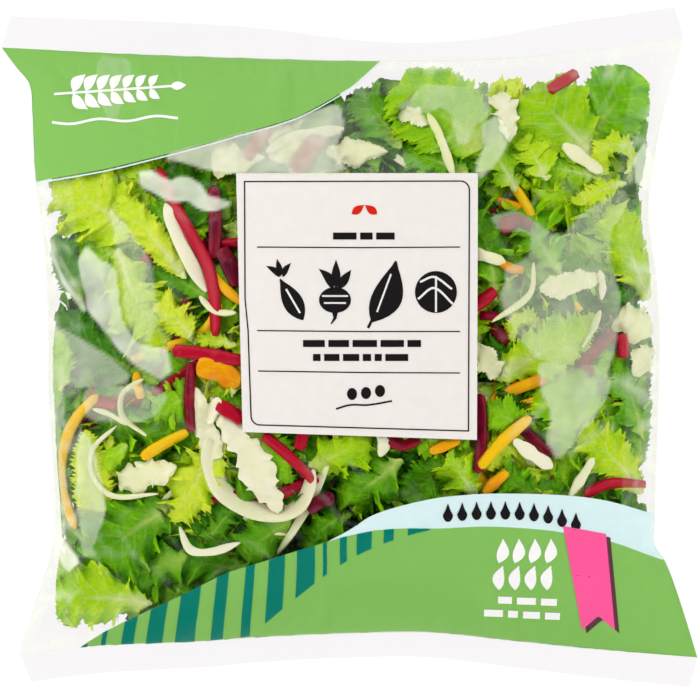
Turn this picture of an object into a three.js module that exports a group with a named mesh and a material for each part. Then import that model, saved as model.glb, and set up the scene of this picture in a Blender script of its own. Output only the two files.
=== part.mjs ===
// A sealed pillow bag of cut salad, lying on its back with the printed face up. Millimetres, +Z up, +Y towards the top
// seal. The bag is a film tube: its two sides are round folds, and a flat welded strip closes it at each end. It is
// modelled as one closed solid out to the film: the swollen body, the two strips and the folds in the film.
import * as THREE from "three";

// ---- driving dimensions ----
const FLOOR_TO_TOP = 61; // height of the swollen body as it lies
const FILM = 0.9; // thickness given to the two welded films, and to the fold at each side
const STRIP = 11.8; // length of each welded strip

// The outline, seen from above, as [Y, X] down each side. Each corner stands out as a flat ear.
const LEFT_SIDE = [
  [109.4, -126], [102, -120.4], [96, -115.6], [86, -114.4], [62, -113], [40, -109.9], [18, -108.4], [-16, -108],
  [-36, -106.8], [-60, -105.8], [-70, -106.8], [-84, -110.7], [-104, -117.6], [-109.8, -119.2],
];
const RIGHT_SIDE = [
  [113, 120.6], [96, 115.6], [81, 111.6], [70, 109.6], [56, 107.4], [44, 107.4], [26, 109.8], [5, 111],
  [-24, 110.4], [-48, 109.6], [-62, 109.2], [-70, 109.4], [-76, 113.4], [-90, 118.6], [-111, 125.4],
];

const SIDE = 110; // the sides without their ears and waist, which fade out away from the rim
const RIM_FADE = 3;

// The two welds, as [X, Y] from left to right. The swelling draws their middles in.
const TOP_WELD = [[-126, 109.4], [-90, 107.3], [-40, 105.4], [11, 104.4], [60, 105.6], [90, 108.6], [120.6, 113]];
const BOTTOM_WELD = [
  [-119.2, -109.8], [-94, -107], [-54, -105.2], [-32, -103.6], [0, -102.2], [32, -101.8], [60, -104.6], [90, -107.8],
  [125.4, -111],
];

// How far each strip reaches past its weld seen from above, as [X, reach]. Where it reaches less, it tilts down.
const TOP_REACH = [[-126, 11.6], [-40, 11.4], [12, 7.4], [44, 7.6], [76, 10.6], [120.6, 11.2]];
const BOTTOM_REACH = [[-119.2, 10.4], [-60, 9.6], [0, 9.2], [60, 9.8], [125.4, 11]];
const STRIP_LEAN = 3; // how far the free corners of a strip lean to +X

// Height above the floor of the line where the front and back films meet
const SEAM = { side: 22, top: 13, bottom: 15, earDrop: 4 };

const PEAK = 0.45; // place of the greatest thickness, from the bottom weld to the top weld
const ALONG_POWER = { rim: 2.3, round: 0.74 }; // profile from weld to weld
const ACROSS_POWER = { rim: 2.5, atWeld: 1.05, atPeak: 0.55 }; // profile from side to side
const PRESSED = 1.25; // over 1, so that the back lies flat on the floor

// The stiff film spans from leaf to leaf in nearly flat patches, in staggered rows shaken out of line
const PATCH = { pitch: 30, shake: 0.9, sink: 0.8, tilt: 0.06, limit: 3.2, seed: 29 };

// Larger patches where the film is pushed in: place and how deep
const DENTS = [
  { name: "left waist", at: [-92, 6], sink: 1.7 },
  { name: "left lower", at: [-86, -62], sink: 1.9 },
  { name: "right waist", at: [94, 14], sink: 1.5 },
  { name: "right upper", at: [88, 58], sink: 1.5 },
  { name: "top left", at: [-78, 70], sink: 1.3 },
  { name: "top right", at: [72, 76], sink: 1.6 },
  { name: "bottom right", at: [84, -70], sink: 1.6 },
];

// Folds that stand up (or, if negative, sink) in the front film, from the welds and ears into the body
const FOLDS = [
  { name: "top left ear", from: [-125, 109], to: [-98, 84], half: 8, rise: 2.2 },
  { name: "top left valley", from: [-110, 107], to: [-88, 80], half: 7, rise: -1.5 },
  { name: "top left fan", from: [-78, 106], to: [-66, 72], half: 8, rise: 1.4 },
  { name: "top middle fan", from: [-22, 104], to: [-30, 72], half: 9, rise: 1.3 },
  { name: "top right fan", from: [46, 104], to: [36, 70], half: 9, rise: 1.4 },
  { name: "top right ear", from: [118, 110], to: [94, 58], half: 9, rise: 2.3 },
  { name: "top right valley", from: [102, 106], to: [80, 70], half: 8, rise: -1.5 },
  { name: "left upper", from: [-111, 46], to: [-88, 6], half: 7, rise: 1.9 },
  { name: "left lower", from: [-106, -52], to: [-82, -86], half: 7, rise: 2.1 },
  { name: "right middle", from: [110, 30], to: [94, -8], half: 7, rise: 1.8 },
  { name: "right lower", from: [110, -60], to: [94, -84], half: 7, rise: 1.8 },
  { name: "bottom right ear", from: [123, -110], to: [96, -66], half: 9, rise: 2.4 },
  { name: "bottom right valley", from: [106, -108], to: [84, -78], half: 8, rise: -1.6 },
  { name: "bottom right fan", from: [52, -103], to: [38, -74], half: 9, rise: 1.4 },
  { name: "bottom middle fan", from: [-12, -102], to: [-2, -78], half: 8, rise: -1.2 },
  { name: "bottom left fan", from: [-58, -104], to: [-46, -74], half: 9, rise: 1.5 },
  { name: "bottom left ear", from: [-117, -108], to: [-90, -78], half: 9, rise: 2.0 },
];

const ACROSS = 54; // steps across the bag
const ALONG = 44; // steps from weld to weld
const STRIP_STEPS = 2;

const lerp = (a, b, k) => a + (b - a) * k;
const clamp = (k, low, high) => Math.min(high, Math.max(low, k));

// Value at k in a table of [k, value] rows, by smooth cubic pieces through the rows.
function lookUp(table, k) {
  const rows = table[0][0] < table[table.length - 1][0] ? table : [...table].reverse();
  let i = 0;
  while (i < rows.length - 2 && k > rows[i + 1][0]) i++;
  const slopeAt = (j) => {
    const a = rows[Math.max(j - 1, 0)];
    const b = rows[Math.min(j + 1, rows.length - 1)];
    return (b[1] - a[1]) / (b[0] - a[0]);
  };
  const [k0, v0] = rows[i];
  const [k1, v1] = rows[i + 1];
  const step = k1 - k0;
  const u = clamp((k - k0) / step, 0, 1);
  const bend = u * (1 - u) * step * (slopeAt(i) * (1 - u) - slopeAt(i + 1) * u);
  return lerp(v0, v1, u * u * (3 - 2 * u)) + bend;
}

// ---- the plan of the bag: s runs 0 to 1 from left to right, t runs 0 to 1 from the bottom weld to the top weld ----
function plan(s, t) {
  const low = lookUp(BOTTOM_WELD, lerp(BOTTOM_WELD[0][0], BOTTOM_WELD.at(-1)[0], s));
  const high = lookUp(TOP_WELD, lerp(TOP_WELD[0][0], TOP_WELD.at(-1)[0], s));
  const y = lerp(low, high, t);
  const left = lookUp(LEFT_SIDE, y) + SIDE;
  const right = lookUp(RIGHT_SIDE, y) - SIDE;
  return { x: lerp(-SIDE, SIDE, s) + left * Math.pow(1 - s, RIM_FADE) + right * Math.pow(s, RIM_FADE), y };
}

// ---- the swelling: 0 at the rim, 1 at the thickest place ----
function swellAlong(t) {
  const off = t < PEAK ? 1 - t / PEAK : (t - PEAK) / (1 - PEAK);
  return Math.pow(Math.max(1 - Math.pow(off, ALONG_POWER.rim), 0), ALONG_POWER.round);
}

function swellAcross(s, along) {
  const rim = Math.max(1 - Math.pow(Math.abs(2 * s - 1), ACROSS_POWER.rim), 0);
  return Math.pow(rim, lerp(ACROSS_POWER.atWeld, ACROSS_POWER.atPeak, along));
}

function seamHeight(s, along, t) {
  const ear = SEAM.earDrop * Math.pow(Math.abs(2 * s - 1), 3) * (1 - along);
  return lerp(lerp(SEAM.bottom, SEAM.top, t), SEAM.side, along) - ear;
}

// The front film before patches and folds: a smooth cushion.
function cushion(s, t) {
  const along = swellAlong(t);
  return seamHeight(s, along, t) + (FLOOR_TO_TOP - SEAM.side) * along * swellAcross(s, along);
}

// ---- the patches: the film is the lowest of many planes that each touch the cushion at one place ----
const SIZE = { x: 232, y: 214 }; // nominal plan size, used to lay the patches out
const PATCHES = layPatches();

function slopesAt(s, t) {
  const d = 0.004;
  const across = (cushion(s + d, t) - cushion(s - d, t)) / (2 * d * SIZE.x);
  const along = (cushion(s, t + d) - cushion(s, t - d)) / (2 * d * SIZE.y);
  return [across, along];
}

function layPatches() {
  let state = PATCH.seed;
  const draw = () => (state = (state * 16807) % 2147483647) / 2147483647;
  const patches = [];
  const { pitch, shake, sink, tilt } = PATCH;
  for (let row = 0; row * pitch * 0.9 < SIZE.y - pitch * 0.9; row++) {
    const start = row % 2 === 0 ? 0.55 : 0.95;
    for (let x = pitch * start; x < SIZE.x - pitch * 0.35; x += pitch) {
      const s = (x + pitch * shake * (draw() - 0.5)) / SIZE.x;
      const t = (pitch * (0.55 + 0.9 * row) + pitch * shake * (draw() - 0.5)) / SIZE.y;
      const height = cushion(s, t) - sink * draw();
      patches.push({ s, t, height, slope: slopesAt(s, t).map((slope) => slope + tilt * (draw() - 0.5)) });
    }
  }
  for (const dent of DENTS) {
    const s = 0.5 + dent.at[0] / SIZE.x;
    const t = 0.5 + dent.at[1] / SIZE.y;
    patches.push({ s, t, height: cushion(s, t) - dent.sink, slope: slopesAt(s, t) });
  }
  return patches;
}

function patchHeight(s, t) {
  let lowest = Infinity;
  for (const one of PATCHES) {
    const run = one.slope[0] * (s - one.s) * SIZE.x + one.slope[1] * (t - one.t) * SIZE.y;
    lowest = Math.min(lowest, one.height + run);
  }
  return lowest;
}

// ---- one fold: a ridge along a straight line, that widens from its start and fades out at both ends ----
function foldRise(fold, x, y) {
  const [ax, ay] = fold.from;
  const dx = fold.to[0] - ax;
  const dy = fold.to[1] - ay;
  const length = Math.hypot(dx, dy);
  const k = clamp(((x - ax) * dx + (y - ay) * dy) / (length * length), 0, 1);
  const away = Math.abs((x - ax) * dy - (y - ay) * dx) / length;
  const half = fold.half * lerp(0.45, 1, k);
  return fold.rise * clamp(1 - away / half, 0, 1) * Math.sin(Math.PI * Math.pow(k, 0.6));
}

// ---- the two films ----
function frontPoint(s, t) {
  const { x, y } = plan(s, t);
  const along = swellAlong(t);
  const swell = along * swellAcross(s, along);
  const smooth = cushion(s, t);
  const spread = clamp(swell * 2.4 - 0.35, 0, 1);
  const patch = clamp(patchHeight(s, t) - smooth, -PATCH.limit, PATCH.limit) * spread;
  const folds = FOLDS.reduce((sum, one) => sum + foldRise(one, x, y), 0) * clamp(swell * 6, 0, 1);
  const seam = seamHeight(s, along, t);
  return new THREE.Vector3(x, y, Math.max(smooth + patch + folds, seam) + FILM / 2);
}

function backPoint(s, t) {
  const { x, y } = plan(s, t);
  const along = swellAlong(t);
  const pressed = clamp(PRESSED * Math.pow(along, 0.5) * Math.pow(swellAcross(s, along), 0.6), 0, 1);
  return new THREE.Vector3(x, y, (seamHeight(s, along, t) - FILM / 2) * (1 - pressed));
}

// A welded strip past an end of the body: out is 0 at the weld and 1 at the free edge.
function stripPoint(s, end, out, face) {
  const weld = face > 0 ? frontPoint(s, end) : backPoint(s, end);
  const reach = lookUp(end === 1 ? TOP_REACH : BOTTOM_REACH, weld.x);
  const tilt = Math.sqrt(Math.max(STRIP * STRIP - reach * reach, 0));
  const away = end === 1 ? 1 : -1;
  const lean = STRIP_LEAN * (end === 1 ? 0.5 - s : 0.6 - s) * 2 * out;
  return new THREE.Vector3(weld.x + lean, weld.y + away * reach * out, weld.z - tilt * out);
}

// ---- the closed solid: a front sheet, a back sheet and a wall that joins their rims ----
// Steps get closer together towards the rim, where the film curves most.
function spaced(i, count, crowd) {
  const k = i / count;
  return lerp(k, 0.5 * (1 - Math.cos(Math.PI * k)), crowd);
}

function rowPoint(i, row, face) {
  const s = spaced(i, ACROSS, 0.62);
  if (row < STRIP_STEPS) return stripPoint(s, 0, (STRIP_STEPS - row) / STRIP_STEPS, face);
  const step = row - STRIP_STEPS;
  if (step > ALONG) return stripPoint(s, 1, (step - ALONG) / STRIP_STEPS, face);
  const t = spaced(step, ALONG, 0.55);
  return face > 0 ? frontPoint(s, t) : backPoint(s, t);
}

function bagGeometry() {
  const rows = ALONG + 2 * STRIP_STEPS;
  const points = [];
  for (const face of [1, -1]) {
    for (let row = 0; row <= rows; row++) {
      for (let i = 0; i <= ACROSS; i++) points.push(rowPoint(i, row, face));
    }
  }
  const sheet = (rows + 1) * (ACROSS + 1);
  const front = (row, i) => row * (ACROSS + 1) + i;
  const back = (row, i) => sheet + front(row, i);
  const faces = [];
  const quad = (a, b, c, d) => faces.push(a, b, c, a, c, d);
  for (let row = 0; row < rows; row++) {
    for (let i = 0; i < ACROSS; i++) {
      quad(front(row, i), front(row, i + 1), front(row + 1, i + 1), front(row + 1, i));
      quad(back(row, i), back(row + 1, i), back(row + 1, i + 1), back(row, i + 1));
    }
    quad(front(row + 1, 0), back(row + 1, 0), back(row, 0), front(row, 0));
    quad(front(row, ACROSS), back(row, ACROSS), back(row + 1, ACROSS), front(row + 1, ACROSS));
  }
  for (let i = 0; i < ACROSS; i++) {
    quad(front(0, i), back(0, i), back(0, i + 1), front(0, i + 1));
    quad(front(rows, i + 1), back(rows, i + 1), back(rows, i), front(rows, i));
  }
  const box = new THREE.Box3().setFromPoints(points);
  const middle = box.getCenter(new THREE.Vector3());
  const positions = points.flatMap((p) => [p.x - middle.x, p.y - middle.y, p.z - box.min.z]);
  const geometry = new THREE.BufferGeometry();
  geometry.setAttribute("position", new THREE.Float32BufferAttribute(positions, 3));
  geometry.setIndex(faces);
  geometry.computeVertexNormals();
  return geometry;
}

const bag = new THREE.Mesh(
  bagGeometry(),
  new THREE.MeshStandardMaterial({ color: 0x83c060, roughness: 0.3, metalness: 0 }),
);
bag.name = "salad_bag";

const pack = new THREE.Group();
pack.add(bag);

export default pack;
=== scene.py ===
# %% [markdown]
# # A clear bag of cut salad
#
# The real object is a film tube, welded flat at both ends, with about 200 g of cut leaves and vegetable
# strips in it. It lies on its back. What makes it look real is the order of its layers: a glossy wrinkled
# film on top, the print just under it, then leaves pressed against the film, and dark gaps that go down
# between them.
#
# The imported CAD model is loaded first. It is one closed solid out to the film. Everything below is worked
# out from the same outline and the same heights, so the dressed bag stays in the solid's place.

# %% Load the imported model
import bpy
import numpy as np
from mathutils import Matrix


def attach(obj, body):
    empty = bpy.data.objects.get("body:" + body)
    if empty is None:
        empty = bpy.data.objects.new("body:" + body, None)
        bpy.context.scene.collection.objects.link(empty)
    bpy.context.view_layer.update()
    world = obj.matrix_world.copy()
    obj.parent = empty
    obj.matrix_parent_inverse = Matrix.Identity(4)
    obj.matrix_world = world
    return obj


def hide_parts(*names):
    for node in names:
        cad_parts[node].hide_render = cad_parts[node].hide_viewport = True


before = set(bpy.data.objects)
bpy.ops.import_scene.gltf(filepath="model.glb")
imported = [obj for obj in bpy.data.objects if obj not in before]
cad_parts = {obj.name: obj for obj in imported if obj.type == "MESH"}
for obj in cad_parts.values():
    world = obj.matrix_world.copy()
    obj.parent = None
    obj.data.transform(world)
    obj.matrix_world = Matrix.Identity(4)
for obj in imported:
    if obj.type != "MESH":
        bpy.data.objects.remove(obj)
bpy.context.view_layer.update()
MM = 0.001

# %% [markdown]
# ## The outline and the swelling
#
# All lengths are in millimetres until a mesh is made. A place on the bag has two parameters: s runs from 0
# at the left side to 1 at the right, and t from 0 at the bottom weld to 1 at the top weld. Two parameters
# and whole arrays are used because one formula then gives the film, the print and the place of each leaf.

# %% Outline tables, as in the part's source
LEFT_SIDE = [
    (109.4, -126), (102, -120.4), (96, -115.6), (86, -114.4), (62, -113), (40, -109.9), (18, -108.4),
    (-16, -108), (-36, -106.8), (-60, -105.8), (-70, -106.8), (-84, -110.7), (-104, -117.6),
    (-109.8, -119.2),
]
RIGHT_SIDE = [
    (113, 120.6), (96, 115.6), (81, 111.6), (70, 109.6), (56, 107.4), (44, 107.4), (26, 109.8), (5, 111),
    (-24, 110.4), (-48, 109.6), (-62, 109.2), (-70, 109.4), (-76, 113.4), (-90, 118.6), (-111, 125.4),
]
TOP_WELD = [(-126, 109.4), (-90, 107.3), (-40, 105.4), (11, 104.4), (60, 105.6), (90, 108.6), (120.6, 113)]
BOTTOM_WELD = [
    (-119.2, -109.8), (-94, -107), (-54, -105.2), (-32, -103.6), (0, -102.2), (32, -101.8), (60, -104.6),
    (90, -107.8), (125.4, -111),
]
TOP_REACH = [(-126, 11.6), (-40, 11.4), (12, 7.4), (44, 7.6), (76, 10.6), (120.6, 11.2)]
BOTTOM_REACH = [(-119.2, 10.4), (-60, 9.6), (0, 9.2), (60, 9.8), (125.4, 11)]
STRIP, STRIP_LEAN = 11.8, 3.0  # width of a welded strip, and how far its ends lean
SIDE, RIM_FADE = 110.0, 3  # half the bag's width, and the power with which a side's own shape fades
MIDDLE = np.array([-0.3, 1.1])  # of the outline's box, which the part's source moves to the origin


def look_up(table, k):
    """Value at k in a table of (k, value) rows: smooth cubic pieces whose slope at a row is that between its
    neighbours."""
    rows = np.array(sorted(table), float)
    at, value = rows[:, 0], rows[:, 1]
    before, after = np.maximum(np.arange(len(at)) - 1, 0), np.minimum(np.arange(len(at)) + 1, len(at) - 1)
    slope = (value[after] - value[before]) / (at[after] - at[before])
    i = np.clip(np.searchsorted(at, k) - 1, 0, len(at) - 2)
    step = at[i + 1] - at[i]
    u = np.clip((k - at[i]) / step, 0, 1)
    bend = u * (1 - u) * step * (slope[i] * (1 - u) - slope[i + 1] * u)
    return value[i] + (value[i + 1] - value[i]) * u * u * (3 - 2 * u) + bend


def mix(a, b, k):
    """The value that lies the share k of the way from a to b."""
    return a + (b - a) * k


def weld_lines(s):
    """Y of the bottom and top welds at s."""
    low = look_up(BOTTOM_WELD, mix(BOTTOM_WELD[0][0], BOTTOM_WELD[-1][0], s))
    return low, look_up(TOP_WELD, mix(TOP_WELD[0][0], TOP_WELD[-1][0], s))


def plan(s, t):
    """X and Y of a place on the bag: straight across between sides at +-SIDE, plus what the real outline
    adds at each side, which fades with the cube of the distance from that side."""
    low, high = weld_lines(s)
    y = mix(low, high, t)
    left, right = look_up(LEFT_SIDE, y) + SIDE, look_up(RIGHT_SIDE, y) - SIDE
    return mix(-SIDE, SIDE, s) + left * (1 - s) ** RIM_FADE + right * s**RIM_FADE, y


def unplan(x, y):
    """s and t of the place at X and Y, by five Newton steps on the formula of plan."""
    left, right = look_up(LEFT_SIDE, y) + SIDE, look_up(RIGHT_SIDE, y) - SIDE
    s = np.clip((x + SIDE) / (2 * SIDE), 0, 1)
    for _ in range(5):
        off = mix(-SIDE, SIDE, s) + left * (1 - s) ** RIM_FADE + right * s**RIM_FADE - x
        rate = 2 * SIDE - RIM_FADE * left * (1 - s) ** 2 + RIM_FADE * right * s**2
        s = np.clip(s - off / rate, -0.2, 1.2)
    low, high = weld_lines(np.clip(s, 0, 1))
    return s, (y - low) / (high - low)


print("middle of the bag:", plan(0.5, 0.5), "and back:", unplan(*plan(0.5, 0.5)))

# %% [markdown]
# A filled bag swells like a cushion. Its height is two curves multiplied: one along the bag, which is 0 at
# both welds, and one across it, which turns from a flat lens near the welds to a round fold at each side.
# Cloth could be blown up to much the same form, but the film has to stay where the CAD solid is.

# %% Swelling and the height of the rim
FLOOR_TO_TOP = 61.0
SEAM_SIDE, SEAM_TOP, SEAM_BOTTOM, EAR_DROP = 22, 13, 15, 4  # rim above the floor, and how far its ears hang
PEAK = 0.45  # t of the thickest place
PRESSED = 1.25  # above 1, so that a broad part of the back is flat


def swell_along(t):
    """0 at the welds and 1 at PEAK: one minus a power of the distance from the peak, raised to round its
    shoulder."""
    off = np.where(t < PEAK, 1 - t / PEAK, (t - PEAK) / (1 - PEAK))
    return np.maximum(1 - np.abs(off) ** 2.3, 0) ** 0.74


def swell_across(s, along):
    """0 at the sides and 1 in the middle: a flat lens near the welds, and a round fold at each side
    elsewhere."""
    return np.maximum(1 - np.abs(2 * s - 1) ** 2.5, 0) ** mix(1.05, 0.55, along)


def seam_height(s, t):
    """Height above the floor of the line where the front and back films meet, carried on inside the bag."""
    along = swell_along(t)
    ear = EAR_DROP * np.abs(2 * s - 1) ** 3 * (1 - along)
    return mix(mix(SEAM_BOTTOM, SEAM_TOP, t), SEAM_SIDE, along) - ear


def cushion(s, t):
    """Height of the front film before its patches and folds: the seam's height plus the two swellings
    multiplied."""
    along = swell_along(t)
    return seam_height(s, t) + (FLOOR_TO_TOP - SEAM_SIDE) * along * swell_across(s, along)


def back_height(s, t):
    """Height of the back film: the seam's height, less a share that reaches 1 where the bag is pressed
    flat."""
    along = swell_along(t)
    pressed = np.clip(PRESSED * np.sqrt(along) * swell_across(s, along) ** 0.6, 0, 1)
    return seam_height(s, t) * (1 - pressed)


print("thickest place:", cushion(0.5, PEAK), "mm")

# %% [markdown]
# ## The film's flat patches and creases
#
# Packaging film is stiff for its thickness. It spans from leaf to leaf in nearly flat patches with crisp
# edges, and it gathers into small folds where it enters a weld. Cloth simulation could crumple a sheet, but
# it gives soft round waves. Here the film is the lowest of many planes that each touch the smooth cushion
# at one place, which gives the flat patches, and each fold is a ridge along a line.

# %% Patches
PATCH_PITCH, PATCH_SHAKE, PATCH_SINK, PATCH_TILT, PATCH_LIMIT = 30.0, 0.9, 0.8, 0.06, 3.2
SIZE_X, SIZE_Y = 232.0, 214.0
DENTS = [  # x, y and how far the film is pushed in there
    (-92, 6, 1.7), (-86, -62, 1.9), (94, 14, 1.5), (88, 58, 1.5), (-78, 70, 1.3), (72, 76, 1.6),
    (84, -70, 1.6),
]


def slopes_at(s, t, d=0.004):
    """Slope of the cushion across and along the bag, from heights a little to both sides."""
    across = (cushion(s + d, t) - cushion(s - d, t)) / (2 * d * SIZE_X)
    return across, (cushion(s, t + d) - cushion(s, t - d)) / (2 * d * SIZE_Y)


def lay_patches():
    """One row for each patch: s, t, height, slope across, slope along. Staggered rows are shaken out of
    line by the same seeded draws as in the part's source, and the dents lie deeper."""
    state = 29
    rows = []

    def draw():
        nonlocal state
        state = state * 16807 % 2147483647
        return state / 2147483647

    row = 0
    while row * PATCH_PITCH * 0.9 < SIZE_Y - PATCH_PITCH * 0.9:
        x = PATCH_PITCH * (0.95 if row % 2 else 0.55)
        while x < SIZE_X - PATCH_PITCH * 0.35:
            s = (x + PATCH_PITCH * PATCH_SHAKE * (draw() - 0.5)) / SIZE_X
            t = (PATCH_PITCH * (0.55 + 0.9 * row) + PATCH_PITCH * PATCH_SHAKE * (draw() - 0.5)) / SIZE_Y
            height = float(cushion(s, t)) - PATCH_SINK * draw()
            across, along = slopes_at(s, t)
            across = across + PATCH_TILT * (draw() - 0.5)
            along = along + PATCH_TILT * (draw() - 0.5)
            rows.append((s, t, height, across, along))
            x += PATCH_PITCH
        row += 1
    for x, y, sink in DENTS:
        s, t = 0.5 + x / SIZE_X, 0.5 + y / SIZE_Y
        rows.append((s, t, float(cushion(s, t)) - sink, *slopes_at(s, t)))
    return np.array(rows, float)


PATCHES = lay_patches()
SOFTNESS = 0.16  # mm by which the edge between two patches is rounded


def patch_height(s, t):
    """The lowest plane's height, rounded where planes meet by a log of summed exponentials."""
    heights = np.stack([p[2] + p[3] * (s - p[0]) * SIZE_X + p[4] * (t - p[1]) * SIZE_Y for p in PATCHES])
    lowest = heights.min(0)
    return lowest - SOFTNESS * np.log(np.exp((lowest - heights) / SOFTNESS).sum(0))


print(len(PATCHES), "patches")

# %% [markdown]
# A fold is a ridge along a straight line, with a width and a rise. The large ones are the CAD part's own.
# The small gathers, wrinkles and creases are drawn with a fixed seed, so every run gives the same bag.

# %% Folds and creases
FOLDS = [  # start x, y, end x, y, half-width and rise: as in the part's source
    (-125, 109, -98, 84, 8, 2.2), (-110, 107, -88, 80, 7, -1.5), (-78, 106, -66, 72, 8, 1.4),
    (-22, 104, -30, 72, 9, 1.3), (46, 104, 36, 70, 9, 1.4), (118, 110, 94, 58, 9, 2.3),
    (102, 106, 80, 70, 8, -1.5), (-111, 46, -88, 6, 7, 1.9), (-106, -52, -82, -86, 7, 2.1),
    (110, 30, 94, -8, 7, 1.8), (110, -60, 94, -84, 7, 1.8), (123, -110, 96, -66, 9, 2.4),
    (106, -108, 84, -78, 8, -1.6), (52, -103, 38, -74, 9, 1.4), (-12, -102, -2, -78, 8, -1.2),
    (-58, -104, -46, -74, 9, 1.5), (-117, -108, -90, -78, 9, 2.0),
]


def fine_folds(rng):
    """Small gathers at both welds, short wrinkles at both sides, and a few long thin creases across the
    patches."""
    rows = []
    for weld, way in ((1, -1), (0, 1)):
        for s in np.linspace(0.02, 0.98, 46) + rng.uniform(-0.009, 0.009, 46):
            x, y = plan(s, weld)
            reach = rng.uniform(5, 13) if rng.random() < 0.7 else rng.uniform(14, 30)
            lean = (0.5 - s) * 0.7 + rng.uniform(-0.25, 0.25)
            rise = rng.uniform(0.25, 0.75) * rng.choice([1, -1])
            rows.append((x, y, x + reach * lean, y + way * reach, rng.uniform(1.6, 3.4), rise))
    for edge, way in ((0, 1), (1, -1)):
        for t in np.linspace(0.06, 0.94, 26) + rng.uniform(-0.015, 0.015, 26):
            x, y = plan(edge, t)
            reach = rng.uniform(7, 24)
            slant = (0.5 - t) * 1.3 + rng.uniform(-0.5, 0.5)
            rise = rng.uniform(0.3, 0.9) * rng.choice([1, -1])
            rows.append((x, y, x + way * reach, y + slant * reach, rng.uniform(1.8, 4), rise))
    for _ in range(34):
        x, y = rng.uniform(-92, 92), rng.uniform(-84, 84)
        turn, reach = rng.uniform(0, np.pi), rng.uniform(14, 42)
        ends = (x + reach * np.cos(turn), y + reach * np.sin(turn))
        rows.append((x, y, *ends, rng.uniform(1.2, 2.4), rng.uniform(0.18, 0.42) * rng.choice([1, -1])))
    return rows


def fold_rise(fold, x, y):
    """A ridge along a straight line: it falls off evenly to both sides, widens from its start, and fades
    out at both ends as a sine."""
    ax, ay, bx, by, half, rise = fold
    dx, dy = bx - ax, by - ay
    k = np.clip(((x - ax) * dx + (y - ay) * dy) / (dx * dx + dy * dy), 0, 1)
    away = np.abs((x - ax) * dy - (y - ay) * dx) / np.hypot(dx, dy)
    return rise * np.clip(1 - away / (half * mix(0.45, 1, k)), 0, 1) * np.sin(np.pi * k**0.6)


def ripple(x, y, pitch, seed, waves=9):
    """Smooth unevenness between about -1 and 1: a mean of sine waves in seeded directions, each bent by
    another."""
    rng = np.random.default_rng(seed)
    total = np.zeros(np.shape(x))
    for turn, phase, stretch in zip(*rng.uniform([[0], [0], [0.7]], [[np.pi], [6.28], [1.5]], (3, waves))):
        along = (x * np.cos(turn) + y * np.sin(turn)) / (pitch * stretch)
        across = (y * np.cos(turn) - x * np.sin(turn)) / (pitch * stretch)
        total += np.sin(2 * np.pi * along + phase + 0.9 * np.sin(4.1 * across + 2 * phase))
    return total * 1.6 / waves


SMALL_FOLDS = fine_folds(np.random.default_rng(5))


PANEL_X, PANEL_Y = (-41, 47), (-33, 64)  # mm: where the label panel keeps the film calm


def calm(x, y):
    """1 on most of the film and 0.3 under the label panel, with a soft border."""
    out_x = np.maximum(PANEL_X[0] - x, x - PANEL_X[1])
    out_y = np.maximum(PANEL_Y[0] - y, y - PANEL_Y[1])
    return mix(0.3, 1, 1 / (1 + np.exp(-np.maximum(out_x, out_y) / 2.5)))


def relief(x, y):
    """What creases and clinging leaves add to the film: all folds, plus lumps, plus sharp thin ridges made
    from the zero lines of a ripple."""
    total = 0.22 * ripple(x, y, 24, 3) + 0.05 * ripple(x, y, 9, 4)
    total += 0.26 * np.clip(1 - np.abs(ripple(x, y, 30, 8)) * 6, 0, 1) ** 2
    for fold in FOLDS + SMALL_FOLDS:
        total += fold_rise(fold, x, y)
    return total * calm(x, y)


def film_front(s, t):
    """Point on the front film: the plan, and the cushion plus patches and relief, which fade out at the
    rim."""
    x, y = plan(s, t)
    along = swell_along(t)
    swell = along * swell_across(s, along)
    smooth = cushion(s, t)
    patch = np.clip(patch_height(s, t) - smooth, -PATCH_LIMIT, PATCH_LIMIT)
    z = smooth + patch * np.clip(swell * 2.4 - 0.35, 0, 1) + relief(x, y) * np.clip(swell * 5, 0, 1)
    return np.stack([x, y, np.maximum(z, seam_height(s, t))], -1)


def film_back(s, t):
    """Point on the back film."""
    x, y = plan(s, t)
    return np.stack([x, y, back_height(s, t)], -1)


print(len(FOLDS), "large folds and", len(SMALL_FOLDS), "small ones")

# %% [markdown]
# ## Height maps
#
# The print and every leaf have to follow the film. Working the film out again for half a million leaf
# points would be slow, so its height is kept once on a square grid, and read back between the grid's
# points.

# %% Front and back heights on a square grid
GRID, REACH_OUT = 0.5, 132.0
axis = np.arange(-REACH_OUT, REACH_OUT + GRID, GRID)
map_x, map_y = np.meshgrid(axis, axis)
map_s, map_t = unplan(map_x, map_y)
inside_s, inside_t = np.clip(map_s, 0, 1), np.clip(map_t, 0, 1)
front_map = film_front(inside_s, inside_t)[..., 2]
back_map = film_back(inside_s, inside_t)[..., 2]


def read_map(heights, x, y):
    """Height at X and Y: the mean of the four nearest grid points, weighted by nearness."""
    column = np.clip((x + REACH_OUT) / GRID, 0, len(axis) - 1.001)
    row = np.clip((y + REACH_OUT) / GRID, 0, len(axis) - 1.001)
    i, j = row.astype(int), column.astype(int)
    u, v = column - j, row - i
    below = mix(heights[i, j], heights[i, j + 1], u)
    return mix(below, mix(heights[i + 1, j], heights[i + 1, j + 1], u), v)


print("map", front_map.shape, "highest film", round(float(front_map.max()), 2), "mm")

# %% [markdown]
# ## The camera, and places in the picture
#
# The photograph looks straight at the printed face. The bag lies down, so the camera looks straight down on
# it. A place read in the photograph is a pixel, and the film under that pixel is found by following the
# camera's ray down to the film's height.

# %% Camera
PICTURE = 700  # pixels across and down
PIXEL = 0.36  # mm for each pixel at the height of the rim
RIM_HEIGHT = 15.0
EYE_HEIGHT = 1300.0
SENSOR = 36.0

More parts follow.
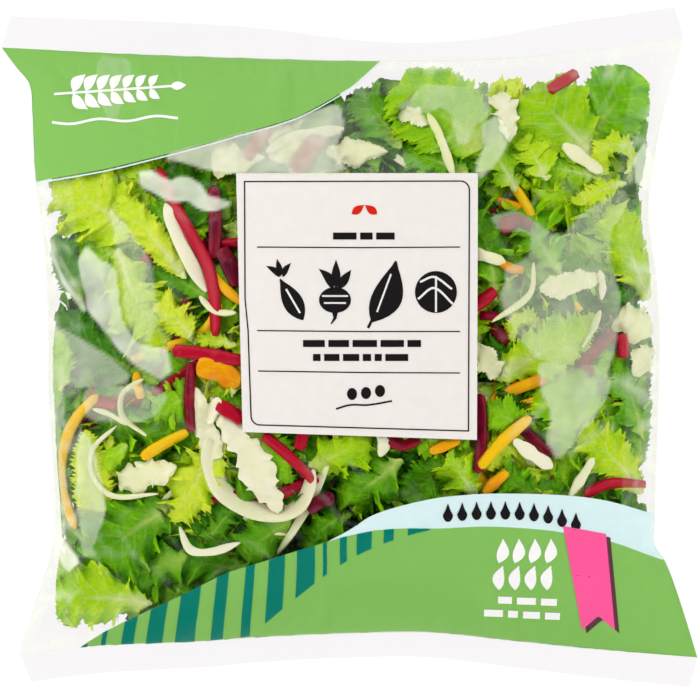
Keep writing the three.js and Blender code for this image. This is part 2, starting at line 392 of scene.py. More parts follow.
camera_data = bpy.data.cameras.new("camera")
camera_data.sensor_width = SENSOR
camera_data.lens = SENSOR * (EYE_HEIGHT - RIM_HEIGHT) / (PICTURE * PIXEL)
camera = bpy.data.objects.new("camera", camera_data)
camera.location = (-MIDDLE[0] * MM, -MIDDLE[1] * MM, EYE_HEIGHT * MM)
bpy.context.scene.collection.objects.link(camera)
bpy.context.scene.camera = camera


def under(px, py):
    """X and Y on the film below a pixel: the ray's width at the film's height, found in four rounds."""
    px, py = np.asarray(px, float), np.asarray(py, float)
    ray_x, ray_y = (px - PICTURE / 2) * PIXEL, (PICTURE / 2 - py) * PIXEL
    height = np.full(np.shape(px), 50.0)
    for _ in range(4):
        near = (EYE_HEIGHT - height) / (EYE_HEIGHT - RIM_HEIGHT)
        height = read_map(front_map, ray_x * near, ray_y * near)
    return ray_x * near, ray_y * near


print("lens", round(camera_data.lens, 1), "mm; the picture's middle is at", under(350, 350))

# %% [markdown]
# ## Curves of the print
#
# The printed fields end in smooth curves. They are read in the photograph as a few pixels each and kept as
# tables of s and t. They are needed before the film is made, because the film's rim is milky only where it
# is bare of print.

# %% Curves
def traced(pixels):
    """A curve in the picture as a table of (s, t)."""
    s, t = unplan(*under(*np.array(pixels, float).T))
    return list(zip(s.tolist(), t.tolist()))


CORNER_EDGE = traced([
    (36.5, 182), (44, 180), (100, 169.6), (153, 157), (199, 145), (237, 134), (297, 116), (350, 87),
    (363, 76), (381, 60),
])
RISE = [
    (77, 650), (105, 632), (138, 616), (179, 597), (223, 575), (257, 564), (295, 552), (319, 545),
    (328, 542),
]
BAND_UPPER = traced([
    (328, 542), (350, 530), (372, 516), (406, 505), (448, 497), (495, 494), (562, 495.5), (607, 501),
    (655, 514),
])
BAND_LOWER_PIXELS = [
    (350, 536), (383, 530), (439, 529), (484, 527), (529, 529), (564, 533), (607, 541), (633, 549),
    (662, 559),
]
BAND_LOWER = traced([RISE[-1]] + BAND_LOWER_PIXELS)
GROUND_EDGE = traced(RISE + BAND_LOWER_PIXELS)


def printed(s, t):
    """1 where a place on the front is printed, and 0 where it is clear."""
    corner = (s < CORNER_EDGE[-1][0]) & (t > look_up(CORNER_EDGE, s))
    ground = (s > GROUND_EDGE[0][0]) & (t < look_up(GROUND_EDGE, s))
    band = (s > BAND_LOWER[0][0]) & (t < look_up(BAND_UPPER, s))
    return (corner | ground | band).astype(float)


print("the lower field covers", round(float(printed(*np.meshgrid([0.9], np.linspace(0, 1, 101))).mean()), 2),
      "of the bag's length near the right side")

# %% [markdown]
# ## From arrays to meshes
#
# A piece is made from arrays of points and of faces.

# %% Mesh helper
def grid_faces(rows, cols, around=False):
    """Four corners of each cell of a grid of points. With around, the last column joins the first."""
    wide = cols if around else cols - 1
    i, j = np.meshgrid(np.arange(rows - 1), np.arange(wide), indexing="ij")
    right = (j + 1) % cols
    corners = [i * cols + j, i * cols + right, (i + 1) * cols + right, (i + 1) * cols + j]
    return np.stack(corners, -1).reshape(-1, 4)


def repeated(faces, count, points_each):
    """The same faces for each of count shapes that follow one another in the point array."""
    return (faces[None] + (np.arange(count) * points_each)[:, None, None]).reshape(-1, faces.shape[1])


def make_piece(name, points, faces, material, slot, uv=None, smooth=True, **attributes):
    """A mesh object from points in mm (any shape, last axis 3) and a list of face arrays."""
    points = np.asarray(points, float).reshape(-1, 3)
    points = (points - [*MIDDLE, 0]) * MM
    faces = [np.asarray(f) for f in faces]
    corners = np.concatenate([f.ravel() for f in faces])
    sizes = np.concatenate([np.full(len(f), f.shape[1]) for f in faces])
    mesh = bpy.data.meshes.new(name)
    mesh.vertices.add(len(points))
    mesh.vertices.foreach_set("co", points.ravel())
    mesh.loops.add(len(corners))
    mesh.loops.foreach_set("vertex_index", corners.astype(np.int32))
    mesh.polygons.add(len(sizes))
    mesh.polygons.foreach_set("loop_start", np.concatenate([[0], np.cumsum(sizes)[:-1]]).astype(np.int32))
    mesh.polygons.foreach_set("use_smooth", np.full(len(sizes), smooth))
    if uv is not None:
        layer = mesh.uv_layers.new(name="UVMap")
        layer.data.foreach_set("uv", np.asarray(uv, float).reshape(-1, 2)[corners].ravel())
    for key, values in attributes.items():
        held = mesh.attributes.new(key, "FLOAT", "POINT")
        held.data.foreach_set("value", np.asarray(values, np.float32).ravel())
    mesh.update(calc_edges=True)
    mesh.validate()
    mesh.materials.append(material)
    piece = bpy.data.objects.new(name, mesh)
    bpy.context.scene.collection.objects.link(piece)
    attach(piece, "root")
    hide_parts("salad_bag")
    print(name, len(mesh.vertices), "points,", int((sizes - 2).sum()), "triangles")
    return piece


print("a grid of 3 by 4 points has", len(grid_faces(3, 4)), "cells")

# %% [markdown]
# ## Material helpers
#
# Each finish is a small node tree. The helpers below only shorten the wiring: one makes a node and fills
# its sockets, and one turns screen colours (0 to 255) into the linear colours that shaders use.

# %% Node helpers
def rgb(red, green, blue):
    """A linear colour from a screen colour, by the sRGB curve."""
    c = np.array([red, green, blue]) / 255
    linear = np.where(c <= 0.04045, c / 12.92, ((c + 0.055) / 1.055) ** 2.4)
    return (*linear.tolist(), 1.0)


class Wiring:
    """A new material's node tree, with short calls to add nodes."""

    def __init__(self, name):
        self.material = bpy.data.materials.new(name)
        self.material.use_nodes = True
        self.tree = self.material.node_tree
        self.tree.nodes.clear()

    def node(self, kind, out=0, **sockets):
        """Adds a node. Keywords set its properties, or its sockets by name, to a value or to another
        socket."""
        made = self.tree.nodes.new("ShaderNode" + kind)
        for key, value in sockets.items():
            if hasattr(made, key) and key not in made.inputs:
                setattr(made, key, value)
                continue
            socket = made.inputs[int(key[1:])] if key[0] == "_" else made.inputs[key.replace("_", " ")]
            if isinstance(value, bpy.types.NodeSocket):
                self.tree.links.new(value, socket)
            else:
                socket.default_value = value
        return made.outputs[out] if made.outputs else made

    def attribute(self, name):
        """The value that a mesh holds for each point under this name."""
        return self.node("Attribute", out=2, attribute_name=name)

    def maths(self, operation, a, b=0.5, clamp=False):
        """One sum."""
        return self.node("Math", operation=operation, use_clamp=clamp, _0=a, _1=b)

    def noise(self, scale, detail=3.0, roughness=0.5, vector=None, distortion=0.0):
        """Cloudy values from 0 to 1. scale is in cells for each metre of the object, or of the vector
        given."""
        vector = vector or self.node("TexCoord", out=3)
        made = dict(Vector=vector, Scale=scale, Detail=detail, Roughness=roughness, Distortion=distortion)
        return self.node("TexNoise", **made)

    def spread(self, value, low, high, to_low=0.0, to_high=1.0):
        """Carries the range low..high onto to_low..to_high, held at its ends."""
        return self.node("MapRange", _0=value, _1=low, _2=high, _3=to_low, _4=to_high)

    def blend(self, share, a, b):
        """The colour that lies the given share of the way from a to b."""
        made = self.tree.nodes.new("ShaderNodeMix")
        made.data_type = "RGBA"
        for socket, value in zip((made.inputs[0], made.inputs[6], made.inputs[7]), (share, a, b)):
            if isinstance(value, bpy.types.NodeSocket):
                self.tree.links.new(value, socket)
            else:
                socket.default_value = value
        return made.outputs[2]

    def bump(self, height, distance, strength=1.0):
        """A surface normal tilted by the slope of a height. distance is the height of 1, in metres."""
        return self.node("Bump", Height=height, Distance=distance, Strength=strength)

    def finish(self, shader):
        """Wires the shader to the material's output and returns the material."""
        self.node("OutputMaterial", Surface=shader)
        return self.material


print("mid grey for a shader:", np.round(rgb(128, 128, 128), 3))

# %% [markdown]
# ## The clear film
#
# Clear film has no colour of its own. It is seen by its gloss, by bright lines along its creases, and by a
# slight haze where it stands off the leaves. A glass shader would bend light and cost many bounces,
# although a film this thin bends nothing. So a Transparent shader is mixed with a mirror-like one: the
# share of mirror follows Fresnel's law, as on real film, and grows with one number that the mesh holds
# for each point. That number is the haze, together with painted highlights along the creases and painted
# reflections of the softboxes, which turn the mirror into a milky white.

# %% Film finish
def film_finish():
    """Transparent mixed with a bright shader. Its share is Fresnel's reflection of both faces, held down at
    grazing angles, plus the number held by the mesh for misted film, painted highlights and painted
    reflections. That number also turns the mirror into a whitish diffuse surface."""
    w = Wiring("clear_film")
    haze = w.attribute("haze")
    gloss = w.maths("MINIMUM", w.node("Fresnel", IOR=1.09), 0.3)
    share = w.maths("ADD", gloss, haze, clamp=True)
    fine = w.bump(w.noise(900, 2.0), 0.00004, 0.5)
    white_share = w.maths("DIVIDE", haze, w.maths("ADD", share, 0.001), clamp=True)
    bright = w.node(
        "BsdfPrincipled", Base_Color=(0.92, 0.96, 0.78, 1), Metallic=w.maths("SUBTRACT", 1.0, white_share),
        Roughness=w.spread(white_share, 0.0, 1.0, 0.06, 0.45), Normal=fine
    )
    clear = w.node("BsdfTransparent", Color=(0.955, 0.942, 0.955, 1))
    return w.finish(w.node("MixShader", _0=share, _1=clear, _2=bright))


FILM = film_finish()
print("film:", len(FILM.node_tree.nodes), "nodes")

# %% [markdown]
# Where film stands off wet leaves it looks milky, with an edge. The milky patches are polygons read in the
# photograph. They are partly that misted film and partly painted reflections of the softboxes, and the
# brightest, at 0.6 and more, are painted highlights on folds. The mesh holds them as one number for each
# point. A painted image could hold it too, but this follows the film and stays sharp.

# %% The front film
FILM_STEPS = 280
# Each patch is partly misted film and partly a painted reflection of the softboxes. Those at 0.6 and more are
# painted highlights.
HAZE_AND_HIGHLIGHT_PATCHES = [  # strength, and corners in pixels: where the film stands off the leaves and looks milky
    (0.50, [(78, 261), (88, 243), (99, 257), (113, 268), (119, 288), (121, 308), (126, 328), (133, 340),
        (158, 347), (167, 348), (173, 371), (161, 381), (151, 376), (133, 364), (115, 346), (99, 324),
        (86, 308)]),
    (0.22, [(105, 203), (127, 225), (151, 261), (154, 278), (159, 320), (151, 342), (133, 340),
        (124, 308), (121, 261), (109, 215)]),
    (0.32, [(52, 324), (85, 340), (131, 374), (127, 381), (105, 388), (66, 388), (55, 368)]),
    (0.26, [(82, 386), (150, 384), (170, 397), (150, 422), (86, 420)]),
    (0.62, [(138, 172), (151, 169), (161, 176), (170, 180), (178, 177), (190, 178), (202, 185),
        (208, 195), (220, 199), (230, 204), (226, 208), (214, 211), (198, 208), (188, 200),
        (176, 202), (166, 201), (151, 193), (139, 186)]),
    (0.50, [(156, 158), (236, 135), (300, 118), (338, 102), (345, 125), (336, 150), (350, 174),
        (230, 174)]),
    (0.07, [(340, 100), (360, 96), (378, 120), (396, 146), (440, 174), (350, 174), (336, 150)]),
    (0.26, [(421, 84), (453, 86), (489, 86), (490, 113), (476, 124), (468, 145), (457, 143), (453, 120),
        (440, 107), (420, 113), (398, 109), (413, 94)]),
    (0.40, [(480, 122), (497, 115), (510, 134), (506, 149), (495, 164), (480, 179), (474, 168),
        (485, 145)]),
    (0.24, [(491, 216), (518, 210), (560, 239), (581, 214), (623, 187), (630, 201), (611, 231),
        (611, 260), (620, 300), (500, 300), (510, 273), (532, 252), (530, 231), (498, 231)]),
    (0.26, [(508, 262), (604, 262), (622, 300), (612, 368), (590, 372), (540, 362), (520, 340),
        (498, 305)]),
    (0.36, [(538, 362), (606, 366), (611, 382), (604, 404), (584, 432), (556, 462), (545, 440),
        (552, 415), (540, 388)]),
    (0.36, [(78, 428), (92, 440), (107, 506), (99, 530), (92, 556), (82, 557), (76, 500)]),
    (0.30, [(50, 350), (60, 352), (66, 400), (60, 440), (70, 500), (58, 504), (50, 420)]),
    (0.72, [(55, 531), (82, 561), (68, 574), (54, 549)]),
    (0.60, [(40, 207), (43, 206), (54, 256), (66, 280), (87, 308), (83, 312), (62, 283), (50, 258)]),
    (0.60, [(633, 163), (644, 141), (654, 153), (656, 172), (646, 194), (637, 184)]),
    (0.22, [(622, 318), (646, 305), (654, 360), (650, 420), (636, 400), (630, 350)]),
    (0.16, [(98, 56), (132, 60), (128, 92), (112, 124), (96, 96)]),
]


def haze_and_highlights_at(x, y):
    """Misted film, painted reflections and painted highlights at X and Y: each patch counts inside its
    polygon, with an edge about a millimetre soft. The distance to a polygon is the shortest to its sides, and
    a point is inside if the turns to its corners add up to a full one."""
    x, y = x + 0.6 * ripple(x, y, 17, 23) + 0.4 * ripple(x, y, 6, 24), y + 0.7 * ripple(x, y, 17, 25)
    total = np.zeros(np.shape(x))
    for strength, pixels in HAZE_AND_HIGHLIGHT_PATCHES:
        corner = np.array(pixels, float)
        after = np.roll(corner, -1, axis=0)
        corner = np.stack([mix(corner, after, 0.15), mix(corner, after, 0.85)], 1).reshape(-1, 2)
        corner = np.stack(under(*corner.T), -1)
        away, turns = np.full(np.shape(x), 1e9), np.zeros(np.shape(x))
        for (ax, ay), (bx, by) in zip(corner, np.roll(corner, -1, axis=0)):
            dx, dy = bx - ax, by - ay
            k = np.clip(((x - ax) * dx + (y - ay) * dy) / (dx * dx + dy * dy), 0, 1)
            away = np.minimum(away, np.hypot(x - ax - k * dx, y - ay - k * dy))
            crossed = (ax - x) * (by - y) - (ay - y) * (bx - x)
            turns += np.arctan2(crossed, (ax - x) * (bx - x) + (ay - y) * (by - y))
        signed = np.where(np.abs(turns) > 3, away, -away)
        total = np.maximum(total, strength * np.clip(0.5 + signed / 0.9, 0, 1))
    return total


def crowded(count, crowd=0.5):
    """Steps from 0 to 1 that lie closer together towards both ends."""
    k = np.linspace(0, 1, count)
    return mix(k, 0.5 - 0.5 * np.cos(np.pi * k), crowd)


film_s, film_t = np.meshgrid(crowded(FILM_STEPS + 1), crowded(FILM_STEPS + 1))
front_points = film_front(film_s, film_t)
film_x, film_y = plan(film_s, film_t)
cloudy = 0.9 + 0.22 * ripple(film_x, film_y, 14, 21) + 0.08 * ripple(film_x, film_y, 5, 22)
cloudy = np.clip(cloudy, 0.5, 1.15)
to_rim = np.minimum(np.minimum(film_s, 1 - film_s), np.minimum(film_t, 1 - film_t) * 0.9)
bare = 1 - printed(film_s, film_t)
rim_haze = (0.05 + 0.25 * np.clip(1 - to_rim / 0.025, 0, 1)) * bare * (to_rim < 0.06)
# Painted highlights: the film is whitened in lines where it bends most, along the creases, and kept off the
# print.
creases = relief(film_x, film_y)
bent = sum(np.abs(np.gradient(np.gradient(creases, axis=way), axis=way)) for way in (0, 1))
for _ in range(3):
    bent = sum((np.roll(bent, step, way) for way in (0, 1) for step in (1, -1)), bent) / 5
crease_haze = 0.3 * np.clip(bent / np.quantile(bent, 0.98) - 0.4, 0, 1) * bare
front_haze = np.maximum(haze_and_highlights_at(film_x, film_y) * cloudy, rim_haze + crease_haze)
print("share of the film with creases that show:", round(float((crease_haze > 0.1).mean()), 3))
front_grid = grid_faces(*film_s.shape)
make_piece("film_front", front_points, [front_grid], FILM, "film", haze=front_haze)

# %% [markdown]
# The back film lies on the table and is seen only at the rim and from behind, so it needs fewer points.
# Its faces are turned over, so that they point out of the bag.

# %% The back film, on every second point of the front's grid
back_s, back_t = film_s[::2, ::2], film_t[::2, ::2]
back_grid = grid_faces(*back_s.shape)[:, ::-1]
back_haze = np.full(back_s.shape, 0.06)
make_piece("film_back", film_back(back_s, back_t), [back_grid], FILM, "film", haze=back_haze)

# %% [markdown]
# ## The welded strips
#
# Past each weld the two films are pressed into one flat strip. It is bare of print, it waves a little, and
# its free edge hangs. It is one grid between the weld and the free edge.

# %% Strips
def strip(end, steps=12):
    """A welded strip: out runs 0 to 1 from the weld to the free edge. It reaches less where it tilts down,
    and small waves grow towards the free edge."""
    s, out = np.meshgrid(film_s[0], np.linspace(0, 1, steps + 1))
    weld = film_front(s, np.full(s.shape, float(end)))
    reach = look_up(TOP_REACH if end else BOTTOM_REACH, weld[..., 0])
    tilt = np.sqrt(np.maximum(STRIP**2 - reach**2, 0))
    lean = STRIP_LEAN * ((0.5 if end else 0.6) - s) * 2 * out
    wave = 0.5 * ripple(weld[..., 0], out * STRIP * 0.5, 21, 31 + end) * out
    crimp = 0.06 * np.sin(2 * np.pi * out * 7) * np.clip(out * (1 - out) * 6, 0, 1)
    away = 1 if end else -1
    x, y = weld[..., 0] + lean, weld[..., 1] + away * reach * out
    return np.stack([x, y, np.maximum(weld[..., 2] - tilt * out + wave + crimp, 0.2)], -1)


WELD_THICK = 0.3  # mm
for strip_name, end in (("strip_bottom", 0), ("strip_top", 1)):
    upper = strip(end)
    lower = upper - [0, 0, WELD_THICK] * np.minimum(upper[..., 2:] / WELD_THICK - 0.1, 1)
    faces = grid_faces(*upper.shape[:2])
    faces = faces if end else faces[:, ::-1]
    make_piece(
        strip_name, [upper, lower], [faces, faces[:, ::-1] + upper[..., 0].size], FILM, "film",
        haze=np.full((2, *upper.shape[:2]), 0.05)
    )

# %% [markdown]
# ## What fills the bag
#
# The mix is mostly frisee, which has toothed, frilled leaves from dark green at the outside of the head to
# yellow and cream at its heart, with strips of carrot and beet, and shreds and sheets of white cabbage.
# Everything lies pressed against the film. So each piece is first shaped flat, with its frills as depth,
# and then laid under the film: its depth is measured down from the film's height, and a part that would
# come through the film is flattened against it. Placing loose leaves by physics would take far longer and
# would not press them against the film.

# %% [markdown]
# ### Strips that are seen
#
# The strips that show best in the photograph are laid along their own paths, read as a few pixels each.
# They lie right under the film.

# %% Paths of the strips that are seen
PATH_STEPS, RING = 30, 10


def smooth_path(points, steps=PATH_STEPS):
    """A smooth curve through a few points, at even steps of their total length: the same cubic as look_up,
    once for each coordinate."""
    points = np.asarray(points, float)
    run = np.concatenate([[0], np.cumsum(np.hypot(*np.diff(points, axis=0).T))])
    at = np.linspace(0, run[-1], steps)
    return np.stack([look_up(list(zip(run, column)), at) for column in points.T], -1)


def seen_path(pixels):
    """A smooth path in mm from a few pixels of the photograph."""
    return smooth_path(np.stack(under(*np.array(pixels, float).T), -1))


CARROTS_SEEN = [  # path in pixels, width in mm, depth below the film in mm
    ([(98, 395), (76, 418), (64, 445), (60, 473), (64, 500), (75, 529)], 4.2, 0.4),
    ([(136, 372), (137, 386), (141, 399)], 3.6, 1.0),
    ([(141, 458), (160, 446), (187, 432)], 4.4, 0.6),
    ([(196, 366), (215, 370), (240, 384)], 9.0, 1.6),
    ([(208, 270), (224, 288), (242, 303)], 3.6, 1.2),
    ([(480, 468), (500, 444), (531, 417)], 4.4, 0.4),
    ([(430, 452), (445, 446), (460, 440)], 3.8, 1.2),
    ([(484, 494), (494, 484), (508, 472)], 4.0, 1.4),
    ([(500, 262), (512, 268), (524, 270)], 3.4, 1.4),
]
BEETS_SEEN = [
    ([(158, 168), (172, 200), (192, 236), (207, 264), (214, 296), (215, 336)], 4.4, 0.4),
    ([(213, 186), (215, 220), (213, 258)], 4.8, 2.4),
    ([(172, 350), (204, 354), (242, 361)], 4.8, 0.6),
    ([(190, 362), (189, 398), (190, 432)], 3.8, 2.2),
    ([(217, 404), (230, 412), (243, 420)], 5.0, 1.0),
    ([(263, 435), (288, 456), (317, 484)], 4.2, 0.5),
    ([(303, 430), (301, 442), (299, 450)], 4.4, 0.8),
    ([(549, 90), (562, 82), (578, 71)], 4.6, 0.4),
    ([(474, 308), (484, 300), (496, 290)], 4.6, 1.0),
    ([(585, 495), (610, 484), (648, 485)], 4.2, 0.6),
    ([(480, 394), (482, 432), (479, 474)], 4.2, 2.4),
    ([(220, 248), (230, 266), (238, 286)], 6.4, 3.0),
    ([(582, 366), (596, 350), (614, 330)], 5.0, 2.2),
    ([(621, 334), (624, 344), (624, 358)], 4.6, 1.4),
    ([(522, 430), (536, 444), (552, 458)], 6.0, 3.4),
    ([(270, 124), (259, 140), (246, 158)], 5.5, 1.2),
    ([(320, 134), (308, 152), (296, 172)], 6.5, 1.6),
    ([(86, 398), (100, 402), (116, 406)], 4.6, 1.6),
    ([(308, 512), (320, 502), (334, 498)], 5.0, 4.0),
    ([(384, 435), (400, 445), (420, 439)], 4.6, 2.2),
    ([(500, 228), (516, 222), (532, 228)], 6.0, 2.2),
]
CABBAGE_SEEN = [
    ([(219, 398), (213, 410), (208, 424)], 5.0, 1.4),
    ([(208, 438), (211, 462), (220, 488), (242, 506), (274, 514), (298, 506), (309, 486), (314, 470)],
     9.6, 0.3),
    ([(116, 426), (92, 450), (92, 476), (112, 496), (158, 494)], 2.0, 0.3),
    ([(143, 379), (122, 394), (122, 416), (146, 436)], 2.2, 0.4),
    ([(92, 409), (108, 414), (127, 425)], 2.0, 0.6),
    ([(179, 527), (190, 550), (212, 552), (240, 543)], 3.0, 0.6),
    ([(165, 203), (178, 238), (190, 262), (206, 292)], 5.5, 0.8),
    ([(199, 296), (214, 311), (236, 313)], 2.4, 0.4),
    ([(534, 262), (530, 294), (492, 322)], 2.4, 0.4),
    ([(601, 310), (594, 328), (583, 347)], 2.8, 0.8),
    ([(428, 112), (440, 136), (454, 176)], 3.6, 1.6),
    ([(563, 144), (582, 157), (603, 172)], 5.6, 1.0),
    ([(514, 440), (532, 454), (553, 468)], 5.0, 0.8),
    ([(594, 458), (583, 477), (570, 497)], 3.6, 0.8),
    ([(452, 248), (478, 254), (506, 262)], 4.5, 1.6),
    ([(266, 152), (290, 139), (344, 128)], 5.0, 1.0),
    ([(600, 270), (603, 284), (602, 300)], 2.6, 0.5),
    ([(378, 434), (384, 444), (380, 457)], 4.4, 1.4),
]
CABBAGE_SHEETS = [  # base and tip in pixels, half width in mm, depth, lobes, cut, frill, arc in radians
    ((213, 396), (282, 512), 6.4, 0.6, 2.2, 0.4, 1.6, -0.2),
    ((193, 388), (214, 460), 4.4, 1.0, 1.4, 0.3, 1.0, 0.2),
    ((176, 466), (117, 484), 5.6, 1.4, 2.2, 0.35, 2.0, 0.2),
    ((606, 275), (540, 290), 4.8, 0.9, 1.6, 0.3, 1.2, 0.15),
    ((656, 334), (620, 314), 6.6, 2.0, 2.0, 0.35, 2.0, 0.1),
    ((638, 376), (656, 348), 5.0, 2.4, 2.0, 0.35, 2.0, 0.1),
    ((474, 340), (498, 376), 5.0, 2.2, 1.5, 0.3, 1.6, 0.2),
    ((438, 120), (398, 112), 3.8, 2.0, 1.5, 0.3, 1.2, 0.3),
    ((388, 150), (326, 152), 5.4, 1.8, 2.2, 0.3, 1.5, 0.2),
    ((264, 156), (210, 162), 6.0, 1.4, 2.2, 0.3, 1.5, 0.2),
    ((512, 142), (502, 90), 5.0, 1.8, 3.0, 0.4, 2.6, 0.3),
    ((300, 174), (276, 126), 6.4, 1.8, 2.0, 0.3, 1.5, 0.2),
]
print(len(CARROTS_SEEN), "carrot,", len(BEETS_SEEN), "beet and", len(CABBAGE_SEEN), "cabbage strips")

# %% [markdown]
# Leaves must pass below these strips. Testing mesh against mesh would be slow, so a map holds how far down
# the room is taken, and what is laid later adds to it.

# %% The room they take
taken = np.zeros(front_map.shape)
for path, width, depth in CARROTS_SEEN + BEETS_SEEN + CABBAGE_SEEN:
    for x, y in seen_path(path):
        low_x, low_y = int((x + REACH_OUT - width) / GRID), int((y + REACH_OUT - width) / GRID)
        span = int(2 * width / GRID) + 1
        near = np.s_[low_y : low_y + span, low_x : low_x + span]
        away = np.hypot(map_x[near] - x, map_y[near] - y) - width / 2
        taken[near] = np.maximum(taken[near], (depth + 2.2) * np.clip(1 - away / 1.6, 0, 1))
print("strips take", round(float((taken > 1).mean() * 100), 1), "% of the map")

# %% [markdown]
# A heap of leaves has dark gaps, and they give it its depth. Each is a round hollow with a warped border,
# and leaves that cross one are pushed down in it.

# %% Hollows in the heap
HOLLOWS = [  # pixel x, y, reach in pixels, depth in mm: where the photograph looks down into dark gaps
    (322, 494, 30, 10), (292, 545, 28, 9), (272, 500, 16, 5), (425, 484, 26, 6), (368, 512, 24, 8),
    (222, 566, 26, 4), (490, 362, 22, 6), (528, 378, 26, 7), (640, 302, 24, 5), (522, 204, 24, 6),
    (72, 318, 22, 5), (134, 364, 20, 5), (194, 184, 32, 4), (160, 458, 16, 3), (540, 452, 24, 7),
    (600, 312, 24, 5), (580, 400, 18, 4), (390, 470, 20, 6), (444, 486, 16, 6), (300, 520, 20, 8),
    (222, 250, 22, 5), (480, 236, 20, 4), (456, 176, 20, 4), (646, 392, 18, 4), (250, 470, 14, 3),
    (150, 560, 16, 3),
]
hollow_map = np.zeros(front_map.shape)
warped_x, warped_y = map_x + 2.5 * ripple(map_x, map_y, 19, 26), map_y + 2.5 * ripple(map_x, map_y, 19, 27)
for px, py, reach, sink in HOLLOWS:
    x, y = under(px, py)
    away = np.hypot(warped_x - x, warped_y - y) / (reach * PIXEL)
    hollow_map = np.maximum(hollow_map, sink * np.clip(1.6 - 1.6 * away, 0, 1))
print("hollows cover", round(float((hollow_map > 1).mean() * 100), 1), "% of the map")

# %% [markdown]
# These helpers press things into the bag. Their limits are soft, because a leaf pressed against film bends
# flat and doesn't break off.

# %% Laying things under the film
CLEARANCE, BACK_CLEARANCE = 1.3, 0.8  # mm kept between each film and what touches it, room for the print
FLATTENING = 0.5  # mm over which a leaf that meets the film is bent flat
SIDE_ROOM, END_ROOM = 0.008, 0.010  # shares of the bag's width and length left empty at its sides and ends
CORNER_ROOM = 0.05  # more of it left empty towards the corners, where the tube is flat


def kept_between(k, low, high, soft=0.008):
    """k, held between low and high with rounded ends: past either end it comes nearer to it and never gets
    there."""
    k = low + soft * np.logaddexp(0, (k - low) / soft)
    return high - soft * np.logaddexp(0, (high - k) / soft)


def pressed_in(x, y):
    """X and Y moved inside the part of the bag that holds food."""
    s, t = unplan(x, y)
    to_end, to_side = np.abs(2 * np.clip(t, 0, 1) - 1), np.abs(2 * np.clip(s, 0, 1) - 1)
    room_s = SIDE_ROOM + CORNER_ROOM * to_end**5
    room_t = END_ROOM + CORNER_ROOM * to_side**5
    return plan(kept_between(s, room_s, 1 - room_s), kept_between(t, room_t, 1 - room_t))


def under_film(x, y, depth, face=1):
    """Points at this depth below the front film, or above the back one with face -1. A negative depth is
    flattened against the film or against a strip that lies there, and a depth that would come out of the
    other film is held inside."""
    x, y = pressed_in(x, y)
    least = read_map(taken, x, y) if face > 0 else 0.0
    depth = least + FLATTENING * np.logaddexp(0, (depth - least) / FLATTENING)
    top, bottom = read_map(front_map, x, y) - CLEARANCE, read_map(back_map, x, y) + BACK_CLEARANCE
    gap = np.maximum(top - bottom, 0.2)
    depth = gap * (1 - np.exp(-depth / gap))
    return np.stack([x, y, top - depth if face > 0 else bottom + depth], -1), depth


def room_above(points, margin=0.6):
    """The map of taken room, with the room down to these rows of points added, so that what is laid later
    passes below them. Each row is cut into short steps first, and the map is widened by a millimetre."""
    k = np.linspace(0, 1, 8)[:, None]
    fine = mix(points[..., :-1, None, :], points[..., 1:, None, :], k).reshape(-1, 3)
    column, row = ((fine[:, :2] + REACH_OUT) / GRID).round().astype(int).T
    room = np.zeros(taken.shape)
    np.maximum.at(room, (row, column), front_map[row, column] - CLEARANCE - fine[:, 2] + margin)
    for way in (0, 1, 0, 1):
        room = np.maximum(room, np.maximum(np.roll(room, 1, way), np.roll(room, -1, way)))
    return np.maximum(taken, room)


print("3 mm below the middle of the film:", np.round(under_film(0.0, 0.0, 3.0)[0], 1))

# %% [markdown]
# ### Frisee leaves
#
# A frisee leaf has a pale flat rib, and a broad blade with shallow lobes and fine teeth along its edge. The
# edge is longer than the blade, so it frills, and the blade is pleated between its side veins. Geometry
# Nodes or a sculpted leaf could be scattered, but no two leaves are alike. Here all leaves are worked out
# at once as arrays of (leaf, step along, step across): half the width follows a sine, notches cut it into
# lobes, every second step is pulled in for the teeth, and waves that grow towards the edge make the frills.
# The rib follows an arc, which can close to a ring.

# %% Leaf shapes
TOOTH = np.array([0.0, 0.7, 1.0, 0.5])  # how far each of four steps is pulled in from the tooth's tip


